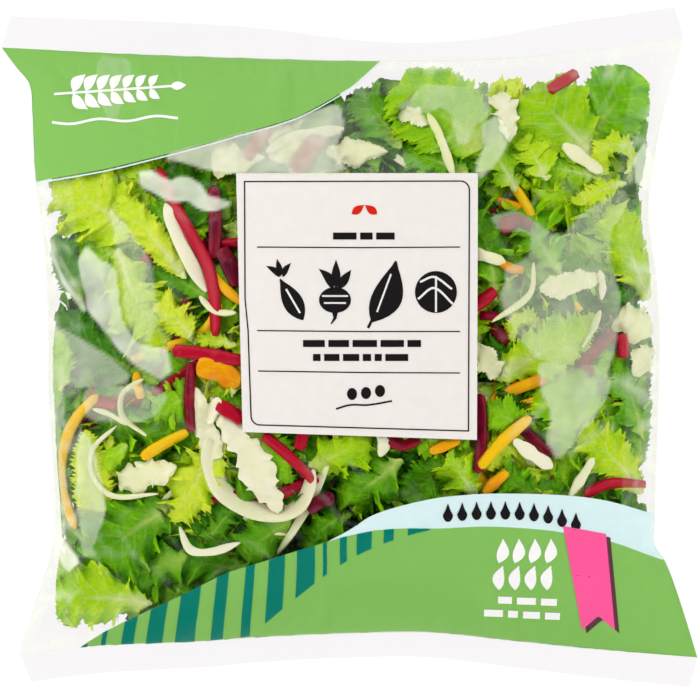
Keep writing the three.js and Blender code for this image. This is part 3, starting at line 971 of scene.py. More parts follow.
def leaves(
    rng, places, length, width, depth, lobes, cut, frill, face=1, grid=(92, 9), turns=None,
    arc=(-1.1, 1.1), tones=(0, 1), reach=(108, 101), short=(0, 5), hollowed=1.0, teeth=(1.0, 2.4)
):
    """Leaf points, UVs, tones, the heights of the frills that paint shade and highlight, and the share of
    painted shade for depth, for places (n, 2) in mm. The other values are (low, high), or one for each leaf:
    length, half width, depth, number of lobes, how deep they are cut, height of the frills, direction of the
    rib, the angle through which it bends, tone, and depth of the teeth."""
    n, (steps, across) = len(places), grid

    def each(*value):
        return (rng.uniform(*value, n) if len(value) == 2 else np.array(value, float))[:, None, None]

    u, v = np.linspace(0, 1, steps)[None, :, None], np.linspace(-1, 1, across)[None, None, :]
    v = np.sign(v) * np.abs(v) ** 0.7
    out = np.abs(v)
    long, wide, shift = each(*length), each(*width), each(0, 6.28) + 1.9 * np.sign(v)
    lobe, cuts, frills = each(*lobes), each(*cut), each(*frill)
    swell = np.sin(np.pi * u ** each(0.9, 1.5)) ** each(0.35, 0.7) + 0.1 * (1 - u)
    notch = np.abs(np.sin(np.pi * lobe * u + shift)) ** 0.6
    half = wide * swell * (1 - cuts * (1 - notch))
    step = np.arange(steps)[None, :, None] + (v > 0) * 2
    tooth = TOOTH[step % 4] * rng.uniform(0.4, 1.2, (n, steps, 1)) * each(*teeth)
    half = half - np.minimum(tooth, 0.5 * half) * out**5
    waves = long / each(6, 11) * 2 * np.pi * u + shift
    ruffle = frills * out**2 * np.clip(half / 6, 0.25, 1)
    forward = 0.35 * half * out**1.4 + 0.7 * ruffle * np.cos(waves)
    sideways = v * half + 0.5 * ruffle * np.cos(1.7 * waves + 1)
    pleat = np.sin(2 * np.pi * long * u / each(6, 11) - 2.6 * out + shift) * out * (1 - out**4)
    blister = np.sin(long * 0.55 * u + 3 * v + shift) * np.sin(8 * v + 0.35 * long * u)
    rise = ruffle * np.sin(waves) + 0.4 * ruffle * out * np.sin(2.6 * waves + 2) + 1.1 * pleat
    rise = rise + 0.3 * blister * (1 - out**3) - 0.6 * np.exp(-((v * half / 1.6) ** 2)) * (1 - u)
    fall = each(-1.5, 2.5) * (out**2 - 0.5) + each(0, 5) * u**4
    bend = each(*arc) * (u - 0.5)
    x = long * (u - 0.5) * np.sinc(bend / np.pi) + forward * np.cos(bend) - sideways * np.sin(bend)
    y = long * (u - 0.5) * np.sinc(bend / 2 / np.pi) * np.sin(bend / 2) + forward * np.sin(bend)
    y = y + sideways * np.cos(bend)
    sunk = each(*depth) + each(-0.1, 0.1) * x + each(-0.2, 0.2) * y + fall - rise
    turn = each(0, 2 * np.pi) if turns is None else np.reshape(turns, (n, 1, 1))
    at_x = places[:, 0, None, None] + x * np.cos(turn) - y * np.sin(turn)
    at_y = places[:, 1, None, None] + x * np.sin(turn) + y * np.cos(turn)
    at_x, at_y = drawn_back(at_x, at_y, each(*short), reach)
    sunk = sunk + (read_map(hollow_map, at_x, at_y) * hollowed if face > 0 else 0)
    points, laid = under_film(at_x, at_y, sunk, face)
    uv = np.stack(np.broadcast_arrays(u, v * 0.5 + 0.5), -1)
    uv = np.broadcast_to(uv, points.shape[:-1] + (2,))
    tone = np.broadcast_to(each(*tones), points.shape[:-1])
    # Height of the frills and pleats, used only for colour: it paints shade in the valleys and highlights on
    # the crests.
    crest = np.clip(0.5 + 0.5 * rise / (np.abs(frills) * 0.6 + 1.0), 0, 1)
    # The last value is the share of painted shade for leaves that lie deep in the heap.
    return points, uv, tone, crest, np.clip((laid - 4.5) / 10, 0, 1)


def drawn_back(x, y, short, reach):
    """Leaves that stick out of the food's part of the bag are moved back whole, each until it ends a little
    short of the part's side, so that the heap's edge is ragged."""

    def past(at, limit):
        """How far each leaf sticks out past the limit on either side."""
        high = np.maximum(at.max((1, 2), keepdims=True) - limit, 0)
        return high + np.minimum(at.min((1, 2), keepdims=True) + limit, 0)

    return x - past(x, reach[0] - short), y - past(y, reach[1] - short)


def scattered(rng, pitch, shake=0.8, room=12):
    """Places on a staggered grid over the bag, shaken out of line."""
    rows = np.arange(-98 + room, 100 - room / 2, pitch * 0.88)
    places = [
        (x + pitch * 0.5 * (i % 2), y)
        for i, y in enumerate(rows)
        for x in np.arange(-104 + room, 104 - room / 2, pitch)
    ]
    places = np.array(places, float)
    return places + rng.uniform(-0.5, 0.5, places.shape) * pitch * shake


# %% [markdown]
# Which kind of leaf lies where follows the photograph in broad patches: a few named places pull the leaves
# near them towards dark, green or yellow. The rest are drawn at random.

# %% Kinds of leaf and their places
KINDS, KIND_SHARES = ["leaf_dark", "leaf_mid", "leaf_light"], [0.34, 0.36, 0.3]
TONED_PLACES = [  # pixel x, y, reach, kind: 0 dark green, 1 green, 2 yellow-green
    (140, 535, 45, 0), (78, 330, 34, 0), (440, 90, 40, 1), (630, 110, 40, 1), (345, 140, 45, 0),
    (200, 480, 40, 2), (100, 200, 50, 2), (90, 590, 40, 2), (615, 170, 30, 2), (620, 455, 36, 2),
    (640, 240, 28, 2), (560, 90, 30, 2), (420, 480, 45, 0), (590, 120, 40, 1), (330, 520, 55, 0),
    (250, 545, 45, 0), (510, 410, 44, 0), (640, 320, 34, 0), (520, 220, 40, 1), (205, 190, 34, 0),
    (280, 470, 30, 1), (110, 410, 30, 1), (560, 560, 40, 1), (500, 140, 30, 1), (570, 400, 34, 1),
    (640, 380, 30, 0), (470, 470, 30, 0), (130, 290, 36, 2), (560, 320, 40, 2), (640, 400, 26, 1),
    (480, 250, 26, 0),
]


def kinds_for(rng, places):
    """0, 1 or 2 for each place: that of the nearest toned place within reach, or else a draw."""
    toned = np.array(TONED_PLACES, float)
    x, y = under(toned[:, 0], toned[:, 1])
    away = np.hypot(places[:, :1] - x, places[:, 1:] - y) / (toned[:, 2] * PIXEL)
    drawn = rng.choice(3, len(places), p=KIND_SHARES)
    follows = (away.min(1) < 1.1) & (rng.random(len(places)) < 0.85)
    return np.where(follows, toned[away.argmin(1), 3], drawn).astype(int)


LAYERS = [  # pitch, depth, length, half width, lobes, cut, frill, face, steps both ways, reach; back one last
    (42, (2, 4.5), (26, 46), (5, 8), (6, 10), (0.6, 0.9), (2.5, 4.5), 1, (92, 9), (109, 101)),
    (36, (3, 5.5), (34, 60), (9, 14), (5, 9), (0.3, 0.7), (3.0, 5.5), 1, (104, 11), (109, 101)),
    (27, (4.5, 8.5), (42, 76), (10, 17), (4, 8), (0.25, 0.6), (3.0, 5.5), 1, (104, 11), (108, 99)),
    (28, (7, 12), (50, 85), (13, 21), (4, 7), (0.2, 0.5), (2.0, 4.0), 1, (92, 9), (106, 96)),
    (33, (13, 19), (60, 95), (16, 24), (3, 6), (0.15, 0.4), (1.5, 3.0), 1, (64, 7), (102, 91)),
    (31, (1.5, 7), (55, 90), (12, 20), (4, 8), (0.3, 0.6), (1.5, 3.5), -1, (64, 7), (107, 96)),
]
print(len(TONED_PLACES), "toned places and", len(LAYERS), "layers")

# %% [markdown]
# A frisee leaf is waxy. Its green goes towards yellow by tone and noise, its rib and base are nearly white,
# and some light comes through. Its edge and the crests of its frills and pleats are lighter, as painted
# highlights, and the valleys between them and leaves deep in the heap are darker, as painted shade. A
# photograph of a leaf would make all leaves alike, so noise, the frills' height and the leaf's own UVs
# colour each one.

# %% Leaf finish
LIGHT_THROUGH, DEPTH_SHADE_SHARE = 0.22, 0.72  # light that comes through a leaf, and darkness of the deepest


def leaf_finish(name, shade, blade, tip, rib):
    """A waxy leaf. Its colour goes from shade to blade to tip by the leaf's tone, by cloudy noise, and by
    how high the pleats and frills stand, which paints shade in the valleys and highlights on the crests. The
    edge is brighter, a painted highlight, the rib and side veins are paler, leaves deep in the heap are
    darker, which is painted shade, and some light comes through."""
    w = Wiring(name)
    split = w.node("SeparateXYZ", Vector=w.node("TexCoord", out=2)).node
    along, across = split.outputs[0], w.maths("ABSOLUTE", w.maths("SUBTRACT", split.outputs[1], 0.5))
    crest = w.attribute("crest")
    cloud = w.noise(75, 4.0, 0.6)
    share = w.maths("ADD", w.maths("MULTIPLY", w.attribute("tone"), 0.5), w.maths("MULTIPLY", cloud, 0.45))
    # Painted shade and highlight: darker in the valleys, lighter on the crests of frills and pleats.
    share = w.maths("ADD", share, w.maths("MULTIPLY", crest, 0.35))
    # Painted highlight: the edge of the blade is lighter.
    share = w.maths("ADD", share, w.spread(across, 0.38, 0.5, 0.0, 0.16))
    colour = w.blend(w.spread(share, 0.35, 0.62), shade, blade)
    colour = w.blend(w.spread(share, 0.62, 1.0), colour, tip)
    fan = w.maths("FRACT", w.maths("ADD", w.maths("MULTIPLY", along, 7.0), w.maths("MULTIPLY", across, -3.2)))
    vein = w.spread(w.maths("ABSOLUTE", w.maths("SUBTRACT", fan, 0.5)), 0.0, 0.16, 0.2, 0.0)
    middle = w.spread(w.maths("DIVIDE", across, w.maths("SUBTRACT", 0.85, along)), 0.01, 0.16, 0.6, 0.0)
    middle = w.maths("MULTIPLY", middle, w.spread(along, 0.3, 0.75, 1.0, 0.0))
    base = w.spread(w.maths("ADD", along, across), 0.1, 0.48, 0.8, 0.0)
    net = w.node("TexVoronoi", feature="DISTANCE_TO_EDGE", Vector=w.node("TexCoord", out=3), Scale=300.0)
    vein = w.maths("MULTIPLY", vein, w.spread(across, 0.1, 0.4, 1.0, 0.0))
    vein = w.maths("MAXIMUM", vein, w.spread(net, 0.0, 0.1, 0.06, 0.0))
    pale = w.maths("MAXIMUM", vein, middle)
    pale = w.maths("MAXIMUM", pale, base)
    colour = w.blend(pale, colour, rib)
    # Painted shade: leaves deep in the heap are darkened towards a near-black green.
    colour = w.blend(w.maths("MULTIPLY", w.attribute("deep"), DEPTH_SHADE_SHARE), colour, rgb(24, 52, 0))
    crinkle = w.maths("MULTIPLY", w.noise(170, 4.0, 0.55, distortion=0.6), 1.6)
    grain = w.maths("ADD", w.maths("MULTIPLY", w.noise(520, 3.0), 0.3), crinkle)
    grain = w.maths("ADD", grain, w.maths("MULTIPLY", pale, 0.3))
    grain = w.maths("ADD", grain, w.spread(net, 0.0, 0.35, 0.0, 0.6))
    normal = w.bump(grain, 0.0010, 0.7)
    waxy = w.node(
        "BsdfPrincipled", Base_Color=colour, Roughness=w.spread(cloud, 0.3, 0.7, 0.3, 0.5), Normal=normal,
        Specular_IOR_Level=0.08, Coat_Weight=0.12, Coat_Roughness=0.1, Coat_Normal=normal
    )
    through = w.node("BsdfTranslucent", Color=colour, Normal=normal)
    return w.finish(w.node("MixShader", _0=LIGHT_THROUGH, _1=waxy, _2=through))


LEAF_COLOURS = {  # shade, blade, tip and rib
    "leaf_dark": [(28, 84, 0), (62, 142, 0), (122, 198, 0), (176, 218, 84)],
    "leaf_mid": [(66, 148, 0), (126, 204, 0), (190, 236, 10), (222, 240, 130)],
    "leaf_light": [(138, 206, 0), (192, 236, 0), (234, 250, 60), (250, 252, 196)],
}
LEAF_FINISHES = {
    kind: leaf_finish(kind, *(rgb(*colour) for colour in colours)) for kind, colours in LEAF_COLOURS.items()
}
print("leaf finishes:", ", ".join(LEAF_FINISHES))

# %% [markdown]
# About sixty leaves are laid where the photograph shows them, each by the pixels of its base and tip.

# %% Leaves that are seen
SEEN_LEAVES = [  # base and tip in pixels, half width in mm, depth, lobes, cut, frill, arc, kind, tone
    ((150, 240), (52, 178), 15, 1.8, 4, 0.35, 3.5, 0.3, 2, 0.8),
    ((186, 278), (118, 196), 6, 1.2, 2, 0.1, 1, 0, 2, 0.9),
    ((80, 300), (46, 236), 8, 2.6, 3, 0.3, 2.5, 0.2, 0, 0.5),
    ((156, 388), (50, 316), 10, 2.0, 3, 0.2, 2, -0.3, 0, 0.35),
    ((112, 250), (160, 350), 13, 1.6, 6, 0.4, 4, 0.4, 2, 0.6),
    ((198, 342), (158, 300), 7, 1.0, 4, 0.35, 3, 0.6, 2, 1),
    ((236, 344), (196, 338), 3.5, 0.8, 5, 0.5, 2.5, 0.2, 2, 0.8),
    ((232, 214), (150, 176), 11, 3.4, 3, 0.3, 3, 0.4, 0, 0.5),
    ((158, 250), (168, 190), 6, 2.8, 3, 0.3, 2, 0, 1, 0.4),
    ((210, 300), (150, 262), 8, 3.2, 4, 0.4, 3, -0.4, 0, 0.7),
    ((62, 392), (58, 330), 6, 1.6, 4, 0.4, 2.5, 0.3, 2, 0.3),
    ((204, 392), (150, 412), 8, 1.4, 6, 0.5, 3.5, 0.3, 1, 0.6),
    ((222, 436), (172, 522), 10, 1.0, 6, 0.5, 4, 0.3, 2, 0.9),
    ((176, 500), (92, 560), 15, 1.6, 4, 0.25, 3, 0.3, 1, 0.15),
    ((188, 560), (84, 588), 12, 2.2, 6, 0.5, 4.5, -0.3, 0, 0.7),
    ((152, 600), (50, 596), 14, 1.2, 5, 0.3, 3.5, 0.4, 2, 0.35),
    ((60, 636), (44, 550), 7, 1.4, 5, 0.4, 3, -0.3, 2, 0.2),
    ((250, 572), (176, 560), 9, 3.4, 3, 0.3, 2, 0.2, 0, 0.6),
    ((290, 520), (240, 556), 9, 1.8, 4, 0.4, 2.5, 0.2, 0, 0.8),
    ((352, 508), (300, 546), 8, 2.2, 7, 0.6, 4, 0.3, 0, 0.7),
    ((126, 444), (104, 468), 4, 1.4, 2, 0.2, 1.5, 0.3, 1, 0.9),
    ((96, 540), (86, 430), 8, 1.8, 2, 0.1, 1, 0, 2, 0.95),
    ((240, 420), (292, 482), 9, 1.6, 7, 0.4, 3, -0.3, 1, 0.5),
    ((310, 470), (372, 436), 9, 1.6, 5, 0.4, 3.5, 0.3, 1, 1),
    ((404, 462), (338, 506), 10, 1.6, 7, 0.4, 4, -0.4, 1, 0.25),
    ((452, 462), (404, 500), 9, 2.6, 4, 0.3, 3, 0.3, 0, 0.7),
    ((478, 498), (448, 456), 8, 1.2, 7, 0.5, 3.5, 0.3, 2, 0.15),
    ((300, 470), (340, 540), 10, 4.0, 4, 0.4, 3, 0.3, 0, 0.2),
    ((398, 436), (470, 446), 6, 2.0, 8, 0.6, 4, 0.4, 1, 0.7),
    ((500, 300), (478, 205), 10, 2.2, 8, 0.6, 5, 0.3, 1, 0.2),
    ((560, 276), (520, 206), 11, 2.6, 7, 0.6, 5, -0.4, 1, 0.45),
    ((650, 300), (612, 206), 10, 1.0, 4, 0.3, 3, -0.3, 2, 0.45),
    ((654, 352), (612, 290), 8, 2.4, 4, 0.4, 3, 0.3, 0, 0.5),
    ((494, 380), (602, 318), 10, 1.0, 3, 0.15, 1.5, 0.2, 2, 0.4),
    ((540, 436), (482, 404), 7, 1.0, 3, 0.2, 2, 0.9, 1, 0.6),
    ((545, 390), (486, 346), 10, 2.8, 6, 0.5, 4, 0.3, 0, 0.6),
    ((600, 452), (548, 372), 13, 1.6, 4, 0.25, 2.5, 0.3, 1, 0.9),
    ((646, 492), (584, 428), 9, 0.9, 3, 0.2, 2, 0.3, 2, 0.55),
    ((648, 440), (618, 360), 8, 1.8, 6, 0.5, 3.5, 0.3, 1, 0.4),
    ((540, 500), (498, 474), 8, 1.8, 6, 0.5, 4, 0.3, 0, 0.9),
    ((556, 318), (496, 318), 4, 1.0, 6, 0.5, 2.5, 4.6, 2, 0.9),
    ((484, 128), (400, 66), 17, 1.0, 3, 0.12, 1.5, 0.3, 1, 0.75),
    ((404, 146), (356, 88), 10, 2.0, 5, 0.4, 3, 0.3, 1, 0.1),
    ((560, 128), (492, 82), 8, 1.4, 4, 0.3, 2, 0.3, 2, 1),
    ((596, 158), (530, 88), 15, 1.2, 3, 0.15, 2, -0.2, 2, 0.1),
    ((600, 150), (662, 72), 14, 1.4, 3, 0.15, 1.5, 0.2, 1, 0.35),
    ((548, 180), (524, 136), 8, 0.8, 3, 0.92, 2, 0.2, 2, 0.5),
    ((656, 144), (574, 144), 4.8, 0.3, 9, 0.3, 2.5, 5.3, 2, 0.75),
    ((520, 190), (478, 130), 9, 1.8, 6, 0.5, 4, 0.3, 2, 0.2),
    ((380, 170), (352, 132), 8, 2.2, 6, 0.5, 3.5, 0.2, 0, 0.8),
    ((470, 172), (404, 150), 8, 2.6, 6, 0.5, 4, 0.3, 1, 0.3),
    ((570, 560), (640, 500), 10, 3.0, 5, 0.5, 4, 0.3, 0, 0.5),
    ((626, 180), (574, 202), 5, 0.5, 7, 0.5, 3, 0.2, 2, 0.8),
    ((60, 540), (54, 420), 6, 3.0, 3, 0.3, 2, 0.1, 1, 0.2),
    ((56, 480), (60, 380), 6, 3.4, 3, 0.3, 2, 0.1, 0, 0.6),
    ((50, 320), (52, 410), 5, 2.6, 3, 0.3, 2, 0.1, 1, 0.5),
    ((644, 470), (650, 380), 6, 3.0, 4, 0.3, 3, 0.1, 1, 0.2),
    ((652, 400), (646, 310), 6, 3.2, 4, 0.3, 3, 0.1, 0, 0.7),
    ((648, 190), (652, 110), 6, 3.4, 4, 0.3, 3, 0.1, 0, 0.8),
    ((560, 400), (500, 384), 9, 3.6, 5, 0.4, 3, 0.3, 0, 0.2),
]


def laid_out(rows):
    """Middle in mm, length and direction of rows that start with a base and a tip in pixels."""
    ends = np.array([(*base, *tip) for base, tip, *_ in rows], float)
    base_mm, tip_mm = np.stack(under(*ends[:, :2].T), -1), np.stack(under(*ends[:, 2:].T), -1)
    way = tip_mm - base_mm
    return (base_mm + tip_mm) / 2, np.hypot(*way.T), np.arctan2(way[:, 1], way[:, 0])


print(len(SEEN_LEAVES), "leaves and", len(CABBAGE_SHEETS), "cabbage sheets are laid by hand")

# %% [markdown]
# ### Laying it all, from the film downwards
#
# Broad cabbage is torn into thin wavy sheets, so the leaf function makes it too, with a smoother edge. The
# sheets lie just under the film, so they come first.

# %% Lay the cabbage sheets
middle, long, turns = laid_out(CABBAGE_SHEETS)
half_wide, depth, lobes, cut, frill, arc = np.array([row[2:] for row in CABBAGE_SHEETS], float).T
sheet_points, sheet_uv, sheet_tone, _, _ = leaves(
    np.random.default_rng(14), middle, long, half_wide, depth, lobes, cut, frill, grid=(64, 11), turns=turns,
    arc=arc, tones=(0.2, 0.8), reach=(112, 106), short=(0, 1), hollowed=0.3, teeth=(0.2, 0.6)
)
taken = room_above(sheet_points)

# %% [markdown]
# Then come the leaves that are seen best, one by one from the highest to the deepest. Each adds its room
# to the map, so that leaves lie on leaves. The drawn layers follow from shallow to deep, and the last lies
# on the back film. Each kind of leaf becomes one mesh.

# %% Make the leaves
made = {kind: [] for kind in KINDS}
seen_rng = np.random.default_rng(13)
middle, long, turns = laid_out(SEEN_LEAVES)
seen_values = np.array([row[2:] for row in SEEN_LEAVES], float).T
half_wide, depth, lobes, cut, frill, arc, kind_seen, tones = seen_values
for i in np.argsort(depth, kind="stable"):
    one = slice(i, i + 1)
    shapes = leaves(
        seen_rng, middle[one], long[one], half_wide[one], depth[one], lobes[one], cut[one], frill[one],
        grid=(112, 11), turns=turns[one], arc=arc[one], tones=tones[one], reach=(112, 106), short=(0, 1),
        hollowed=0.7
    )
    made[KINDS[int(kind_seen[i])]].append(shapes)
    taken = room_above(shapes[0])

leaf_rng = np.random.default_rng(12)
for pitch, depth, length, width, lobes, cut, frill, face, grid, reach in LAYERS:
    places = scattered(leaf_rng, pitch)
    shapes = leaves(leaf_rng, places, length, width, depth, lobes, cut, frill, face, grid, reach=reach)
    chosen = kinds_for(leaf_rng, places)
    for number, kind in enumerate(KINDS):
        made[kind].append([part[chosen == number] for part in shapes])
    if face > 0:
        taken = room_above(shapes[0], 0.3)

for kind, groups in made.items():
    starts = np.cumsum([0] + [group[0].size // 3 for group in groups])
    faces = [
        repeated(grid_faces(*group[0].shape[1:3]), len(group[0]), group[0][0].size // 3) + start
        for group, start in zip(groups, starts)
    ]
    points, uv, tone, crest, deep = (
        np.concatenate([part.reshape(-1, size) for part in parts])
        for parts, size in zip(zip(*groups), (3, 2, 1, 1, 1))
    )
    make_piece(kind, points, faces, LEAF_FINISHES[kind], kind, uv=uv, tone=tone, crest=crest, deep=deep)

# %% [markdown]
# ### The dark heart of the heap
#
# Between the leaves the eye meets more leaves, deep in shade. A closed lumpy core stands for them: it is
# the film's shape drawn inwards, with a mottled dark green finish.

# %% Core
def core_finish():
    """Dark green with brown and lighter flecks, as packed leaves look in shade."""
    w = Wiring("deep_leaves")
    cloud = w.noise(110, 5.0, 0.65, distortion=1.5)
    colour = w.blend(w.spread(cloud, 0.35, 0.6), rgb(52, 60, 16), rgb(92, 116, 22))
    colour = w.blend(w.spread(w.noise(60, 4.0, 0.6), 0.55, 0.66), colour, rgb(128, 166, 40))
    colour = w.blend(w.spread(w.noise(45, 3.0), 0.62, 0.66), colour, rgb(96, 34, 36))
    return w.finish(
        w.node("BsdfPrincipled", Base_Color=colour, Roughness=0.6, Normal=w.bump(cloud, 0.003, 0.8))
    )


CORE_BELOW, CORE_ABOVE = 15, 9  # mm below the front film and above the back one


def core_points(steps=90):
    """A closed surface of two sheets: the plan drawn in from the rim, sunk below the front film and raised
    above the back one, by lumps. around runs right round the bag's section, from side to side on top and
    back below."""
    around, t = np.meshgrid(np.linspace(0, 1, 2 * steps, endpoint=False), np.linspace(0.10, 0.90, steps))
    reach = 0.40 * np.clip(1 - np.abs(2 * t - 1) ** 6 * 0.35, 0, 1)
    s = 0.5 - reach * np.cos(2 * np.pi * around)
    x, y = plan(s, t)
    top, bottom = read_map(front_map, x, y), read_map(back_map, x, y)
    middle = (top + bottom) / 2
    lumps = 2.2 * ripple(x, y, 21, 61) + 1.1 * ripple(x, y, 8, 62)
    upper = np.maximum(top - CORE_BELOW + lumps, middle + 0.3)
    lower = np.minimum(bottom + CORE_ABOVE + lumps, middle - 0.3)
    return np.stack([x, y, np.where(around < 0.5, upper, lower)], -1)


core = core_points()
rows, columns = core.shape[:2]
caps = np.stack([np.arange(columns)[::-1], (rows - 1) * columns + np.arange(columns)])
make_piece("deep_leaves", core, [grid_faces(rows, columns, around=True), caps], core_finish(), "core")

# %% [markdown]
# ### Strips of carrot and beet, and shreds of cabbage
#
# The strips are cut square, about 4 mm wide, so they are a rounded square carried along a bent path.
# Cabbage shreds are flatter, they vary in width and they wave. All of them are the same function: a profile
# carried along a path, and closed by a flat face at both ends.

# %% Profiles along paths
def for_each_step(value, count, steps):
    """One number, one for each strip, or one for each step, as an array of (strip, step)."""
    value = np.asarray(value, float)
    return np.broadcast_to(value[:, None] if value.ndim == 1 else value, (count, steps))


def strips(paths, width, thick, depth, square, wave=0.0, seed=0, face=1):
    """Points of strips (n, step, ring, 3). paths is (n, step, 2); width, thick and depth are (n,) or (n,
    step)."""
    rng = np.random.default_rng(seed)
    n, steps = paths.shape[:2]
    width, thick, depth = (for_each_step(a, n, steps) for a in (width, thick, depth))
    along = np.gradient(paths, axis=1)
    along /= np.linalg.norm(along, axis=-1, keepdims=True)
    sideways = np.stack([-along[..., 1], along[..., 0]], -1)
    turn = 2 * np.pi * (np.arange(RING) + 0.5) / RING
    ring_x = np.sign(np.cos(turn)) * np.abs(np.cos(turn)) ** square
    ring_z = np.sign(np.sin(turn)) * np.abs(np.sin(turn)) ** square
    k = np.linspace(0, 1, steps)[None, :]
    roll = rng.uniform(-0.5, 0.5, (n, 1)) + rng.uniform(-0.8, 0.8, (n, 1)) * k
    across = ring_x * (width / 2)[..., None]
    up = ring_z * (thick / 2)[..., None]
    shifted = across * np.cos(roll)[..., None] - up * np.sin(roll)[..., None]
    risen = across * np.sin(roll)[..., None] + up * np.cos(roll)[..., None]
    run = np.linalg.norm(np.diff(paths, axis=1), axis=-1).sum(1, keepdims=True)
    sway = wave * np.sin(2 * np.pi * k * run / rng.uniform(16, 34, (n, 1)) + rng.uniform(0, 6.28, (n, 1)))
    x = paths[..., None, 0] + shifted * sideways[..., None, 0]
    y = paths[..., None, 1] + shifted * sideways[..., None, 1]
    x, y = pressed_in(x, y)
    top = read_map(front_map, x.mean(-1), y.mean(-1)) - CLEARANCE
    bottom = read_map(back_map, x.mean(-1), y.mean(-1)) + BACK_CLEARANCE
    half = np.abs(risen).max(-1)
    sunk = np.maximum(depth + sway, 0) + half
    sunk = np.minimum(sunk, np.maximum(top - bottom - half, half))
    centre = top - sunk if face > 0 else bottom + sunk
    return np.stack([x, y, centre[..., None] + risen], -1)


def strip_faces(count, steps):
    """The cells along each strip, and a face at both ends."""
    cells = repeated(grid_faces(steps, RING, around=True), count, steps * RING)
    ends = np.stack([np.arange(RING)[::-1], (steps - 1) * RING + np.arange(RING)])
    return [cells, repeated(ends, count, steps * RING)]


def drawn_paths(rng, count, length, bend, room=24):
    """Loose paths: straight lines of the given length with two seeded bends each."""
    centre = rng.uniform([-100 + room, -92 + room], [100 - room, 92 - room], (count, 2))
    long, turn = rng.uniform(*length, (count, 1)), rng.uniform(0, np.pi, (count, 1))
    k = np.linspace(-0.5, 0.5, PATH_STEPS)[None, :]
    bow = rng.uniform(-bend, bend, (count, 1)) * long * (k**2 * 4 - 1)
    weave = rng.uniform(-bend, bend, (count, 1)) * (long * np.sin(2 * np.pi * k) * 0.4)
    side = bow + weave
    x = centre[:, :1] + k * long * np.cos(turn) - side * np.sin(turn)
    y = centre[:, 1:] + k * long * np.sin(turn) + side * np.cos(turn)
    return np.stack([x, y], -1)


def cut_strips(rng, paths, width, thick, depth, seed, face=1):
    """Square-cut strips along drawn paths, each with a drawn width and depth."""
    count = len(paths)
    return strips(paths, rng.uniform(*width, count), thick, rng.uniform(*depth, count), 0.5, 0.8, seed, face)


def tapered(n, width, rng, narrow=0.35, uneven=0.14, blunt=9):
    """Widths along n shreds: full in the middle, narrower at both ends, which are rounded, and uneven in
    long and short waves. A higher blunt gives squarer ends."""
    k = np.linspace(0, 1, PATH_STEPS)[None, :]
    shape = narrow + (1 - narrow) * np.sin(np.pi * k) ** rng.uniform(0.3, 0.9, (n, 1))
    swells = 1 + uneven * np.sin(2 * np.pi * k * rng.uniform(1, 2.4, (n, 1)) + rng.uniform(0, 6.28, (n, 1)))
    short_waves = np.sin(2 * np.pi * k * rng.uniform(3, 6, (n, 1)) + rng.uniform(0, 6.28, (n, 1)))
    swells = swells + 0.25 * uneven * short_waves
    rounded = np.maximum(1 - np.abs(2 * k - 1) ** blunt, 0.06) ** 0.5
    return np.reshape(width, (n, 1)) * shape * swells * rounded


def strip_uv(points):
    """UVs of strips: along the strip, and round its section."""
    n, steps, ring = points.shape[:3]
    u = np.broadcast_to(np.linspace(0, 1, steps)[None, :, None], (n, steps, ring))
    v = np.broadcast_to((np.arange(ring) / ring)[None, None, :], (n, steps, ring))
    return np.stack([u, v], -1)


# %% [markdown]
# Cut flesh is moist: a soft gloss, streaks along the grain and a little light through it. The three
# vegetables share one finish, and differ in colours, streaks and gloss.

# %% Finishes of the cut vegetables
def cut_finish(name, pale, full, deep, streaks, roughness, through):
    """Moist cut flesh: colour from pale to deep by a tone for each strip and cloudy noise, fine streaks
    along the grain, and a little light through it."""
    w = Wiring(name)
    tone = w.attribute("tone")
    cloud = w.noise(150, 4.0, 0.6)
    colour = w.blend(w.spread(w.maths("ADD", cloud, tone), 0.7, 1.35), full, deep)
    stretched = w.node("Mapping", Vector=w.node("TexCoord", out=2), Scale=(3.0, 26.0, 1.0))
    grain = w.noise(1.0, 3.0, 0.6, vector=stretched)
    colour = w.blend(w.spread(grain, 0.5, 0.72, 0.0, streaks), colour, pale)
    height = w.maths("ADD", w.maths("MULTIPLY", grain, 0.6), w.maths("MULTIPLY", w.noise(700, 2.0), 0.4))
    normal = w.bump(height, 0.0004, 0.5)
    moist = w.node(
        "BsdfPrincipled", Base_Color=colour, Roughness=roughness, Normal=normal, Specular_IOR_Level=0.22
    )
    lit = w.node("BsdfTranslucent", Color=colour, Normal=normal)
    return w.finish(w.node("MixShader", _0=through, _1=moist, _2=lit))


CARROT = cut_finish("carrot", rgb(255, 232, 14), rgb(255, 205, 0), rgb(246, 138, 0), 0.5, 0.35, 0.1)
BEET = cut_finish("beet", rgb(216, 44, 78), rgb(188, 0, 40), rgb(98, 4, 38), 0.3, 0.3, 0.08)
CABBAGE = cut_finish("cabbage", rgb(255, 255, 244), rgb(252, 251, 216), rgb(242, 245, 176), 0.7, 0.28, 0.12)

# %% [markdown]
# The strips that are seen follow their paths. Below and between them more are drawn at random, as in a
# mixed bag.

# %% Carrot
def make_strips(name, points, seen_shade_tone, drawn_tone, finish, slot):
    """One piece from all strips of a root, with one tone for each strip: the seen ones first."""
    tone = np.concatenate([seen_shade_tone, drawn_tone])
    tone = np.broadcast_to(tone[:, None, None], points.shape[:3])
    faces = strip_faces(len(points), PATH_STEPS)
    make_piece(name, points, faces, finish, slot, uv=strip_uv(points), tone=tone)


